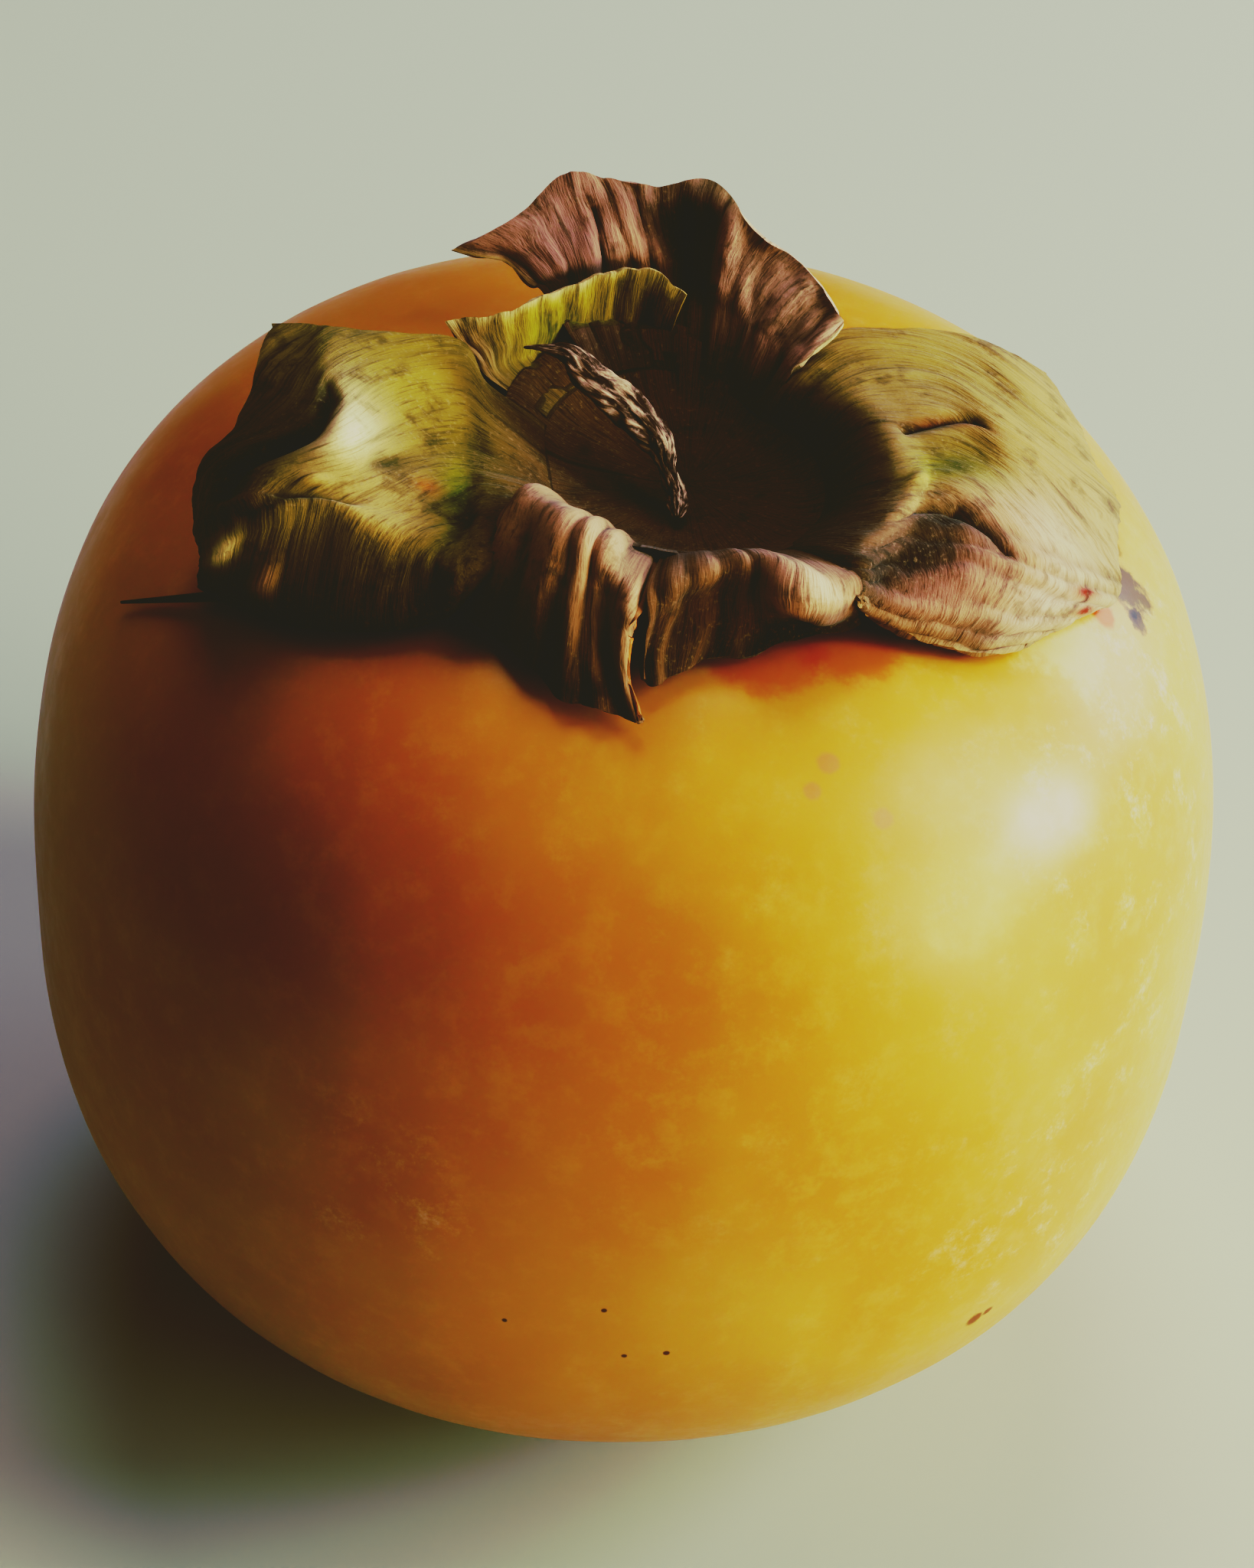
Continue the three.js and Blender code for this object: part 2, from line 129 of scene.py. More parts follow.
@dataclass(frozen=True)
class FruitForm:
    """Shape of the fruit's skin, and of whatever lies at a lift above it."""

    girth: float = 80.0
    upper_height: float = 39.8
    lower_height: float = 35.0
    upper_fullness: float = 3.08
    lower_fullness: float = 2.04
    resting_flat_depth: float = 1.0
    corner_fullness: float = 0.01
    corner_turn: float = 0.06
    basin_depth: float = 4.5
    basin_width: float = 13.0
    hub: Pair = (3.0, -1.5)

    @property
    def widest_level(self) -> float:
        """Height of the widest level above the ground."""
        return self.lower_height - self.resting_flat_depth

    def outline_radius(self, azimuth: np.ndarray) -> np.ndarray:
        """Radius of the widest outline, a little fuller at its four corners.

        Args:
            azimuth: Directions in radians.

        Returns:
            Radii in millimetres.
        """
        flank = self.girth / 2 / (1 - self.corner_fullness)
        return flank * (1 - self.corner_fullness * np.cos(4 * (azimuth - self.corner_turn)))

    def basin_drop(self, x: np.ndarray, y: np.ndarray) -> np.ndarray:
        """How far the basin round the calyx lowers the skin.

        Args:
            x: Places in plan.
            y: Places in plan.

        Returns:
            Drops in millimetres.
        """
        from_hub = np.hypot(x - self.hub[0], y - self.hub[1]) / self.basin_width
        return self.basin_depth * np.exp(-from_hub * from_hub)

    def skin_height(self, x: np.ndarray, y: np.ndarray) -> np.ndarray:
        """Height of the upper skin above the ground.

        Args:
            x: Places in plan.
            y: Places in plan.

        Returns:
            Heights in millimetres.
        """
        reach = np.minimum(np.hypot(x, y) / self.outline_radius(np.arctan2(y, x)), 0.998)
        dome = self.upper_height * (1 - reach ** self.upper_fullness) ** (1 / self.upper_fullness)
        return self.widest_level + dome - self.basin_drop(x, y)

    def above(self, x: np.ndarray, y: np.ndarray, lift: np.ndarray) -> np.ndarray:
        """Points at a lift above the upper skin, measured square to it.

        Args:
            x: Places in plan.
            y: Places in plan.
            lift: Lifts in millimetres.

        Returns:
            One row of x, y and z for each place.
        """
        step = 0.05
        slope_x = (self.skin_height(x + step, y) - self.skin_height(x - step, y)) / (2 * step)
        slope_y = (self.skin_height(x, y + step) - self.skin_height(x, y - step)) / (2 * step)
        normal = np.stack([-slope_x, -slope_y, np.ones_like(slope_x)], axis=1)
        normal /= np.linalg.norm(normal, axis=1, keepdims=True)
        return np.stack([x, y, self.skin_height(x, y)], axis=1) + normal * lift[:, None]

    def skin_points(self, direction: np.ndarray) -> np.ndarray:
        """Points of the skin in the directions of a sphere's vertices.

        Args:
            direction: Unit directions from the fruit's centre, one row each.

        Returns:
            One row of x, y and z for each direction.
        """
        upper = direction[:, 2] >= 0
        fullness = np.where(upper, self.upper_fullness, self.lower_fullness)
        level = np.hypot(direction[:, 0], direction[:, 1])
        size = (level ** fullness + np.abs(direction[:, 2]) ** fullness) ** (-1 / fullness)
        azimuth = np.arctan2(direction[:, 1], direction[:, 0])
        radius = self.outline_radius(azimuth) * size
        x = radius * direction[:, 0]
        y = radius * direction[:, 1]
        dome = direction[:, 2] * size * np.where(upper, self.upper_height, self.lower_height)
        z = self.widest_level + dome - np.where(upper, self.basin_drop(x, y), 0.0)
        return np.stack([x, y, np.maximum(z, 0.0)], axis=1)

    def plan(self, azimuth: np.ndarray, radius: np.ndarray) -> tuple[np.ndarray, np.ndarray]:
        """Places in plan of points given round the hub.

        Args:
            azimuth: Directions from the hub in degrees.
            radius: Distances from the hub in millimetres.

        Returns:
            The x and the y values.
        """
        angle = np.radians(azimuth)
        return self.hub[0] + radius * np.cos(angle), self.hub[1] + radius * np.sin(angle)


FORM = FruitForm()


class NodeSketch:
    """One material's node tree, drawn in short calls."""

    def __init__(self, name: str) -> None:
        """Start an empty tree.

        Args:
            name: Name of the material.
        """
        self.material = bpy.data.materials.new(name)
        self.material.use_nodes = True
        self.tree = self.material.node_tree
        self.tree.nodes.clear()

    def add(self, kind: str, **settings: Any) -> bpy.types.Node:
        """Add a node.

        Args:
            kind: Type of the node.
            settings: Properties to set on it.

        Returns:
            The node.
        """
        node = self.tree.nodes.new(kind)
        for name, value in settings.items():
            setattr(node, name, value)
        return node

    def link(self, socket: bpy.types.NodeSocket, value: Any) -> None:
        """Give a socket its value, or link it to another socket.

        Args:
            socket: Input to fill.
            value: A plain value or an output socket.
        """
        if isinstance(value, bpy.types.NodeSocket):
            self.tree.links.new(value, socket)
        else:
            socket.default_value = value

    def feed(self, node: bpy.types.Node, **values: Any) -> None:
        """Give several inputs of a node their values.

        Args:
            node: The node.
            values: Plain values and output sockets, with underscores for spaces.
        """
        for name, value in values.items():
            self.link(node.inputs[name.replace("_", " ")], value)

    def object_place(self) -> bpy.types.NodeSocket:
        """Object coordinates, in metres."""
        return self.add("ShaderNodeTexCoord").outputs["Object"]

    def attribute(self, name: str, output: str) -> bpy.types.NodeSocket:
        """One output of a named mesh attribute."""
        return self.add("ShaderNodeAttribute", attribute_name=name).outputs[output]

    def scaled(self, vector: bpy.types.NodeSocket, scale: Triple) -> bpy.types.NodeSocket:
        """Stretch coordinates.

        Args:
            vector: Coordinates to map.
            scale: Factor along each axis.

        Returns:
            The mapped coordinates.
        """
        node = self.add("ShaderNodeMapping")
        self.feed(node, Vector=vector, Scale=scale)
        return node.outputs["Vector"]

    def noise(
        self, vector: bpy.types.NodeSocket, scale: float, detail: float, roughness: float,
    ) -> bpy.types.NodeSocket:
        """Smooth random value from 0 to 1.

        Args:
            vector: Coordinates.
            scale: Features for each unit of length.
            detail: Number of finer layers.
            roughness: Strength of the finer layers.

        Returns:
            The value.
        """
        node = self.add("ShaderNodeTexNoise")
        self.feed(node, Vector=vector, Scale=scale, Detail=detail, Roughness=roughness)
        return node.outputs["Fac"]

    def span(
        self, value: Any, low: float, high: float, start: float = 0.0, end: float = 1.0,
    ) -> bpy.types.NodeSocket:
        """Map a value from one range to another, held at its ends.

        Args:
            value: The value.
            low: Value that gives the start.
            high: Value that gives the end.
            start: Result at low.
            end: Result at high.

        Returns:
            The mapped value.
        """
        node = self.add("ShaderNodeMapRange", interpolation_type="SMOOTHSTEP")
        self.feed(node, Value=value, From_Min=low, From_Max=high, To_Min=start, To_Max=end)
        return node.outputs["Result"]

    def maths(self, operation: str, first: Any, second: Any) -> bpy.types.NodeSocket:
        """Combine two values.

        Args:
            operation: Name of the operation.
            first: First value.
            second: Second value.

        Returns:
            The result.
        """
        node = self.add("ShaderNodeMath", operation=operation)
        self.link(node.inputs[0], first)
        self.link(node.inputs[1], second)
        return node.outputs["Value"]

    def mix(self, share: Any, first: Any, second: Any) -> bpy.types.NodeSocket:
        """Mix two colours.

        Args:
            share: Share of the second colour.
            first: First colour.
            second: Second colour.

        Returns:
            The mixed colour.
        """
        node = self.add("ShaderNodeMix", data_type="RGBA")
        first_colour, second_colour, mixed_colour = 6, 7, 2
        self.feed(node, Factor=share)
        self.link(node.inputs[first_colour], first)
        self.link(node.inputs[second_colour], second)
        return node.outputs[mixed_colour]

    def near(self, vector: bpy.types.NodeSocket, centre: Triple) -> bpy.types.NodeSocket:
        """Distance from a place.

        Args:
            vector: Coordinates.
            centre: The place.

        Returns:
            The distance.
        """
        node = self.add("ShaderNodeVectorMath", operation="DISTANCE")
        self.link(node.inputs[0], vector)
        self.link(node.inputs[1], centre)
        return node.outputs["Value"]

    def bump(
        self, height: Any, distance: float, strength: float, normal: Any = None,
    ) -> bpy.types.NodeSocket:
        """Small relief in the surface's shading.

        Args:
            height: Height of the relief, from 0 to 1.
            distance: Depth of the relief in metres.
            strength: Share of the relief that shows.
            normal: Relief that this one is laid over.

        Returns:
            The changed normal.
        """
        node = self.add("ShaderNodeBump")
        self.feed(node, Strength=strength, Distance=distance, Height=height)
        if normal is not None:
            self.feed(node, Normal=normal)
        return node.outputs["Normal"]

    def finish(self, **inputs: Any) -> bpy.types.Material:
        """Close the tree with its shader.

        Args:
            inputs: Values and sockets for the shader, with underscores for spaces.

        Returns:
            The finished material.
        """
        shader = self.add("ShaderNodeBsdfPrincipled")
        self.feed(shader, **inputs)
        output = self.add("ShaderNodeOutputMaterial")
        self.tree.links.new(shader.outputs["BSDF"], output.inputs["Surface"])
        return self.material


@dataclass(frozen=True)
class SkinSpot:
    """A blemish or scar on the skin, or a painted red glow of shade and reflected light, seen from above
    its centre.
    """

    place: Triple
    radius: float
    colour: Colour
    strength: float = 1.0
    ragged: float = 0.35


# Painted glow: shade and red light reflected from the calyx's front flap, painted on the skin beneath it.
UNDER_FLAP_PAINTED_GLOW = (0.62, 0.13, 0.02, 1.0)
PALE_SCAR = (0.82, 0.62, 0.30, 1.0)
RED_SPOT = (0.75, 0.16, 0.015, 1.0)
MOULD = (0.07, 0.06, 0.04, 1.0)
FAINT_MOULD = (0.30, 0.18, 0.04, 1.0)
PIT = (0.22, 0.08, 0.02, 1.0)
SPECK = (0.16, 0.06, 0.02, 1.0)
PINK = (0.66, 0.30, 0.20, 1.0)


@dataclass(frozen=True)
class SkinFinish:
    """Waxy orange skin with a whitish bloom, mottling, small blemishes and a painted red glow of shade
    and reflected light under the front flap.
    """

    deep: Colour = (0.65, 0.335, 0.09, 1.0)
    body: Colour = (0.70, 0.42, 0.13, 1.0)
    pale: Colour = (0.76, 0.49, 0.21, 1.0)
    bloom: Colour = (0.84, 0.72, 0.58, 1.0)
    frost: tuple[tuple[Triple, float], ...] = (
        ((33.0, -14.0, 57.0), 22.0), ((28.0, -29.0, 38.0), 13.0), ((-13.0, -38.0, 44.0), 9.0),
    )
    spots_and_glow: tuple[SkinSpot, ...] = (
        # The first two spots are painted glow of shade and reflected light under the front flap; the rest
        # are blemishes.
        SkinSpot((8.0, -18.4, 71.6), 4.2, UNDER_FLAP_PAINTED_GLOW, 0.45, 0.4),
        SkinSpot((13.0, -17.0, 71.5), 4.0, UNDER_FLAP_PAINTED_GLOW, 0.45, 0.4),
        SkinSpot((26.4, -12.0, 68.4), 4.5, PALE_SCAR, 0.6, 0.9),
        SkinSpot((29.1, -8.1, 67.4), 1.3, RED_SPOT, 0.85, 0.6),
        SkinSpot((31.5, -4.2, 66.1), 2.3, MOULD, 0.8, 1.2),
        SkinSpot((31.6, -6.2, 65.6), 1.1, MOULD, 0.8, 1.2),
        SkinSpot((30.4, -1.1, 67.1), 0.9, FAINT_MOULD, 0.8, 1.4),
        SkinSpot((24.5, -31.5, 27.2), 0.9, PIT, 0.85, 0.7),
        SkinSpot((25.4, -30.9, 27.3), 0.6, PIT, 0.85, 0.7),
        SkinSpot((-5.6, -39.7, 34.6), 0.26, SPECK, 0.8, 0.4),
        SkinSpot((0.5, -40.0, 36.4), 0.26, SPECK, 0.8, 0.4),
        SkinSpot((1.9, -39.9, 31.9), 0.26, SPECK, 0.8, 0.4),
        SkinSpot((4.5, -39.7, 32.2), 0.26, SPECK, 0.8, 0.4),
        SkinSpot((11.8, -25.2, 69.0), 0.8, PINK, 0.5, 0.5),
        SkinSpot((10.9, -26.9, 68.3), 0.7, PINK, 0.5, 0.5),
        SkinSpot((15.1, -27.3, 66.7), 0.8, PINK, 0.5, 0.5),
    )

    def material(self) -> bpy.types.Material:
        """Build the skin's material.

        Returns:
            The material.
        """
        sketch = NodeSketch("persimmon_skin")
        place = sketch.object_place()
        broad = sketch.noise(place, 45, 3, 0.5)
        fine = sketch.noise(place, 420, 6, 0.65)
        grain = sketch.noise(place, 2600, 3, 0.6)
        colour = sketch.mix(sketch.span(broad, 0.32, 0.68), self.deep, self.body)
        colour = sketch.mix(sketch.span(fine, 0.45, 0.75, 0.0, 0.35), colour, self.pale)
        cloud = sketch.noise(place, 260, 7, 0.78)
        patches = sketch.span(cloud, 0.5, 0.72)
        dust = sketch.maths("MULTIPLY", patches, sketch.span(grain, 0.35, 0.62, 0.35, 1.0))
        colour = sketch.mix(sketch.maths("MULTIPLY", dust, 0.12), colour, self.bloom)
        for centre, reach in self.frost:
            distance = sketch.near(place, tuple(value * MM for value in centre))
            cover = sketch.span(distance, 0.3 * reach * MM, reach * MM, 0.5, 0.0)
            colour = sketch.mix(sketch.maths("MULTIPLY", dust, cover), colour, self.bloom)
        # Blemishes, and the painted glow of shade and reflected light under the front flap.
        for spot in self.spots_and_glow:
            centre = tuple(value * MM for value in spot.place)
            distance = sketch.maths("DIVIDE", sketch.near(place, centre), spot.radius * MM)
            unevenness = sketch.maths("SUBTRACT", fine, 0.5)
            rough_edge = sketch.maths("MULTIPLY", unevenness, 2 * spot.ragged)
            edge = sketch.maths("ADD", distance, rough_edge)
            cover = sketch.span(edge, 0.55, 1.0, spot.strength, 0.0)
            colour = sketch.mix(cover, colour, spot.colour)
        relief = sketch.bump(fine, 0.00006, 0.35)
        relief = sketch.bump(sketch.noise(place, 90, 2, 0.5), 0.0006, 0.25, relief)
        return sketch.finish(
            Base_Color=colour,
            Roughness=sketch.span(cloud, 0.35, 0.7, 0.33, 0.46),
            Subsurface_Weight=0.35,
            Subsurface_Radius=(1.0, 0.28, 0.06),
            Subsurface_Scale=0.004,
            Coat_Weight=0.3,
            Coat_Roughness=0.27,
            Normal=relief,
        )


@dataclass(frozen=True)
class DryCalyxFinish:
    """Leathery dried calyx: its blades' tints, with painted shade and painted highlights among them,
    fibres along the blade, scurf and fine down.
    """

    fibre_dark: Colour = (0.045, 0.028, 0.014, 1.0)
    scurf: Colour = (0.42, 0.33, 0.22, 1.0)

    def material(self) -> bpy.types.Material:
        """Build the calyx's material.

        Returns:
            The material.
        """
        sketch = NodeSketch("dried_calyx")
        place = sketch.object_place()
        blade = sketch.attribute("blade", "Vector")
        tint = sketch.attribute("tint", "Color")
        fibres = sketch.noise(sketch.scaled(blade, (1.9, 0.16, 1.0)), 1.0, 5, 0.6)
        threads = sketch.noise(sketch.scaled(blade, (6.5, 0.5, 1.0)), 1.0, 3, 0.6)
        blotch = sketch.noise(place, 420, 5, 0.62)
        grain = sketch.noise(place, 3200, 3, 0.65)
        colour = sketch.mix(sketch.span(fibres, 0.5, 0.72, 0.0, 0.5), tint, self.fibre_dark)
        colour = sketch.mix(sketch.span(threads, 0.52, 0.72, 0.0, 0.4), colour, self.fibre_dark)
        colour = sketch.mix(sketch.span(blotch, 0.52, 0.7, 0.0, 0.4), colour, self.fibre_dark)
        colour = sketch.mix(sketch.span(grain, 0.52, 0.75, 0.0, 0.45), colour, self.scurf)
        relief = sketch.bump(fibres, 0.0002, 0.5)
        relief = sketch.bump(threads, 0.00012, 0.6, relief)
        relief = sketch.bump(grain, 0.00005, 0.5, relief)
        return sketch.finish(
            Base_Color=colour,
            Roughness=0.82,
            Specular_IOR_Level=0.25,
            Sheen_Weight=0.25,
            Sheen_Roughness=0.5,
            Normal=relief,
        )


@dataclass(frozen=True)
class DryStalkFinish:
    """Shrivelled stalk: grey-brown bark with painted shade in the hollows along it and painted highlight
    on its ridges.
    """

    bark: Colour = (0.60, 0.45, 0.35, 1.0)
    # Colour of the painted highlight on the ridge tops, and of the pale grain.
    lit_tone: Colour = (0.82, 0.68, 0.55, 1.0)
    # Colour of the painted shade in the hollows between the ridges.
    hollow: Colour = (0.12, 0.075, 0.055, 1.0)

    def material(self) -> bpy.types.Material:
        """Build the stalk's material.

        Returns:
            The material.
        """
        sketch = NodeSketch("dried_stalk")
        place = sketch.object_place()
        blade = sketch.attribute("blade", "Vector")
        ridges = sketch.noise(sketch.scaled(blade, (1.3, 0.7, 1.0)), 1.0, 5, 0.65)
        grain = sketch.noise(place, 2600, 4, 0.65)
        # Painted shade where the ridges' relief is low and painted highlight where it is high; then
        # random pale grain.
        colour = sketch.mix(sketch.span(ridges, 0.42, 0.66), self.hollow, self.bark)
        colour = sketch.mix(sketch.span(ridges, 0.56, 0.75, 0.0, 0.7), colour, self.lit_tone)
        colour = sketch.mix(sketch.span(grain, 0.5, 0.8, 0.0, 0.4), colour, self.lit_tone)
        relief = sketch.bump(ridges, 0.0003, 0.7)
        relief = sketch.bump(grain, 0.00006, 0.5, relief)
        return sketch.finish(Base_Color=colour, Roughness=0.85, Specular_IOR_Level=0.25, Normal=relief)


@dataclass(frozen=True)
class FloorFinish:
    """Plain pale matt table top."""

    colour: Colour = (0.61, 0.65, 0.63, 1.0)

    def material(self) -> bpy.types.Material:
        """Build the floor's material.

        Returns:
            The material.
        """
        sketch = NodeSketch("plain_floor")
        return sketch.finish(Base_Color=self.colour, Roughness=0.75, Specular_IOR_Level=0.2)


def object_of(name: str, bm: bmesh.types.BMesh, material: bpy.types.Material) -> bpy.types.Object:
    """Turn a finished bmesh into an object at the origin, with smooth faces.

    Args:
        name: Name of the piece.
        bm: Its mesh, which is freed.
        material: Its finish.

    Returns:
        The object, linked to the scene.
    """
    mesh = bpy.data.meshes.new(name)
    for face in bm.faces:
        face.smooth = True
    bm.to_mesh(mesh)
    bm.free()
    mesh.materials.append(material)
    piece = bpy.data.objects.new(name, mesh)
    bpy.context.scene.collection.objects.link(piece)
    return piece


def settle(piece: bpy.types.Object) -> None:
    """Apply an object's modifiers to its mesh.

    Args:
        piece: The object.
    """
    graph = bpy.context.evaluated_depsgraph_get()
    mesh = bpy.data.meshes.new_from_object(piece.evaluated_get(graph))
    piece.modifiers.clear()
    piece.data = mesh


def place_vertices(bm: bmesh.types.BMesh, points: np.ndarray) -> None:
    """Move a bmesh's vertices to points given in millimetres.

    Args:
        bm: The mesh.
        points: One row of x, y and z for each vertex.
    """
    for vertex, point in zip(bm.verts, points * MM):
        vertex.co = point


@dataclass
class Fruit:
    """Flesh and skin in one closed body."""

    finish: SkinFinish
    columns: int = 256
    rows: int = 160
    undulation: float = 0.12
    scar_depth: float = 0.5
    scar_width: float = 2.2

    def build(self) -> bpy.types.Object:
        """Model the fruit from a sphere and dress it.

        Returns:
            The fruit.
        """
        bm = bmesh.new()
        bmesh.ops.create_uvsphere(bm, u_segments=self.columns, v_segments=self.rows, radius=1.0)
        direction = np.array([vertex.co[:] for vertex in bm.verts])
        direction /= np.linalg.norm(direction, axis=1, keepdims=True)
        points = FORM.skin_points(direction)
        swell = ripple(direction, 0.45, 3, 11.0) * self.undulation
        side = smooth_step(-0.9, -0.6, direction[:, 2]) * smooth_step(1.0, 0.85, direction[:, 2])
        points += direction * (swell * side)[:, None]
        from_axis = np.hypot(points[:, 0], points[:, 1])
        scar = self.scar_depth * np.exp(-(from_axis / self.scar_width) ** 2)
        points[:, 2] += np.where(direction[:, 2] < 0, scar, 0.0)
        place_vertices(bm, points)
        return object_of("fruit_skin", bm, self.finish.material())


@dataclass(frozen=True)
class Crease:
    """A fold across a blade, between two places given as across and along."""

    start: Pair
    end: Pair
    depth: float
    width: float
    sharp: bool = False


@dataclass(frozen=True)
class Dent:
    """A round hollow or, with a height above 0, a bulge in a blade."""

    place: Pair
    reach: Pair
    height: float


@dataclass(frozen=True)
class Pleats:
    """Evenly spaced folds that run along a blade."""

    count: float
    depth: float
    phase: float = 0.0
    first: float = 0.0
    last: float = 1.0
    root: float = 0.0
    wander: float = 0.6


@dataclass(frozen=True)
class Tint:
    """A patch of colour on a blade, at a place given as across and along."""

    place: Pair
    reach: Pair
    colour: Colour
    strength: float = 1.0


@dataclass(frozen=True)
class Lobe:
    """One lobe or flap of the calyx: a net of points as azimuth, radius and lift round the hub."""

    name: str
    net: Net
    cells: tuple[int, int]
    margin_wave: float
    waves: int
    ground: Colour
    thickness: float = 0.6
    margin_thickness: float = 0.3
    fray: float = 0.02
    wrinkle: float = 0.16
    hollow_shade: float = 0.45
    fibre_pivot: Pair | None = None
    fibre_sweep: float = 0.6
    creases: tuple[Crease, ...] = ()
    dents: tuple[Dent, ...] = ()
    pleats: tuple[Pleats, ...] = ()
    tints: tuple[Tint, ...] = ()

    def control(self, root: Callable[[float], Triple]) -> np.ndarray:
        """The net with its root in the bowl's wall, as x, y and lift.

        Args:
            root: Gives the bowl's point at an azimuth.

        Returns:
            Rows across the blade, columns along it, and three values each.
        """
        rows = []
        for row in self.net:
            polar = np.array([root(row[0][0]), *row])
            x, y = FORM.plan(polar[:, 0], polar[:, 1])
            rows.append(np.stack([x, y, polar[:, 2]], axis=1))
        return np.array(rows)

    def fibre_places(
        self, across: np.ndarray, along: np.ndarray, span: float, length: float, seed: float,
    ) -> np.ndarray:
        """Coordinates across and along the blade's fibres, which may sweep round a pivot.

        Args:
            across: Place across the blade, from 0 to 1.
            along: Place along the blade, from 0 to 1.
            span: Width of the blade in millimetres.
            length: Length of the blade in millimetres.
            seed: Number that keeps the lobe's pattern its own.

        Returns:
            One row of millimetres across, millimetres along and the seed for each place.
        """
        x = across * span
        y = along * length
        if self.fibre_pivot is not None:
            x = x - self.fibre_pivot[0] * span
            y = y - self.fibre_pivot[1] * length
            x, y = np.hypot(x, y), np.arctan2(y, -x) * self.fibre_sweep * span
        return np.stack([x, y, np.full_like(across, seed)], axis=1)

    def relief(
        self, across: np.ndarray, along: np.ndarray, span: float, length: float, seed: float,
    ) -> np.ndarray:
        """Height of the folds and wrinkles over the blade.

        Args:
            across: Place across the blade, from 0 to 1.
            along: Place along the blade, from 0 to 1.
            span: Width of the blade in millimetres.
            length: Length of the blade in millimetres.
            seed: Picks the lobe's own wrinkles.

        Returns:
            Heights in millimetres.
        """
        long_wrinkles = np.array([1.0, 0.35, 1.0])
        long_threads = np.array([1.0, 0.16, 1.0])
        wrinkle_size, thread_size, wander_size = 2.6, 0.8, 5.0
        thread_share = 0.45
        flat = self.fibre_places(across, along, span, length, seed)
        height = self.wrinkle * ripple(flat * long_wrinkles, wrinkle_size, 4, seed)
        height += thread_share * self.wrinkle * ripple(flat * long_threads, thread_size, 2, seed + 7)
        wander = ripple(flat, wander_size, 2, seed + 3)
        for pleat in self.pleats:
            turns = pleat.count * across + pleat.phase + 0.25 * pleat.wander * wander
            wave = np.cos(2 * math.pi * turns)
            edge = smooth_step(pleat.first - 0.05, pleat.first + 0.05, across)
            edge *= smooth_step(pleat.last + 0.05, pleat.last - 0.05, across)
            height += pleat.depth * wave * edge * smooth_step(pleat.root - 0.15, pleat.root + 0.25, along)
        for crease in self.creases:
            start = np.array(crease.start) * (span, length)
            line = np.array(crease.end) * (span, length) - start
            place = np.stack([across * span, along * length], axis=1) - start
            share = np.clip(place @ line / (line @ line), 0, 1)
            distance = np.linalg.norm(place - share[:, None] * line, axis=1) / crease.width
            profile = np.exp(-distance) if crease.sharp else np.exp(-distance ** 2)
            height += crease.depth * profile
        for dent in self.dents:
            offset_v = (across - dent.place[0]) / dent.reach[0]
            offset_u = (along - dent.place[1]) / dent.reach[1]
            height += dent.height * np.exp(-(offset_v ** 2 + offset_u ** 2))
        root_fade = smooth_step(0.0, 0.14, along)
        return height * root_fade

    def tint_colours(self, across: np.ndarray, along: np.ndarray) -> np.ndarray:
        """Colour of the blade at each place, from its ground and its patches.

        Args:
            across: Place across the blade, from 0 to 1.
            along: Place along the blade, from 0 to 1.

        Returns:
            One linear colour a place.
        """
        colours = np.tile(np.array(self.ground), (len(across), 1))
        for tint in self.tints:
            offset_v = (across - tint.place[0]) / tint.reach[0]
            offset_u = (along - tint.place[1]) / tint.reach[1]
            share = tint.strength * np.exp(-(offset_v ** 2 + offset_u ** 2))[:, None]
            colours = colours * (1 - share) + np.array(tint.colour) * share
        return colours

    def build(self, root: Callable[[float], Triple], index: int) -> bpy.types.Object:
        """Model the blade from a grid and give it its thickness.

        Args:
            root: Gives the bowl's point at an azimuth.
            index: Number of the lobe, which keeps its pattern its own.

        Returns:
            The closed blade.
        """
        bm = bmesh.new()
        bmesh.ops.create_grid(bm, x_segments=self.cells[0], y_segments=self.cells[1], size=0.5)
        flat = np.array([vertex.co[:2] for vertex in bm.verts]) + 0.5
        across = flat[:, 0]
        along = flat[:, 1]
        seed = 17.0 * (index + 1)
        control = self.control(root)
        span = np.linalg.norm(np.diff(control[:, -2, :2], axis=0), axis=1).sum()
        length = np.linalg.norm(np.diff(control[len(control) // 2, :, :], axis=0), axis=1).sum()
        wave = 0.5 + 0.5 * np.cos(2 * math.pi * self.waves * across)
        edge = np.stack([across * span, np.full_like(across, seed), np.zeros_like(across)], axis=1)
        tear = ripple(edge, 1.6, 5, seed + 5)
        reach = along * (1 - self.margin_wave * wave - self.fray * tear * smooth_step(0.5, 1.0, along))
        reach = np.clip(reach, 0, 1)
        place = self.surface(control, across, reach)
        step = 0.004
        d_across = self.surface(control, np.clip(across + step, 0, 1), reach)
        d_across -= self.surface(control, np.clip(across - step, 0, 1), reach)
        d_along = self.surface(control, across, np.clip(reach + step, 0, 1))
        d_along -= self.surface(control, across, np.clip(reach - step, 0, 1))
        normal = np.cross(d_across, d_along)
        normal /= np.maximum(np.linalg.norm(normal, axis=1, keepdims=True), 1e-9)
        normal *= 1.0 if np.mean(normal[:, 2]) > 0 else -1.0
        relief = self.relief(across, along, span, length, seed)
        place += normal * relief[:, None]
        place_vertices(bm, place)
        self.mark(bm, across, along, span, length, seed, relief)
        bmesh.ops.recalc_face_normals(bm, faces=bm.faces[:])
        piece = object_of(self.name, bm, bpy.data.materials["dried_calyx"])
        piece.vertex_groups.new(name="thickness")
        wall = piece.modifiers.new("wall", "SOLIDIFY")
        wall.thickness = self.thickness * MM
        wall.offset = 0.0
        wall.vertex_group = "thickness"
        settle(piece)
        return piece

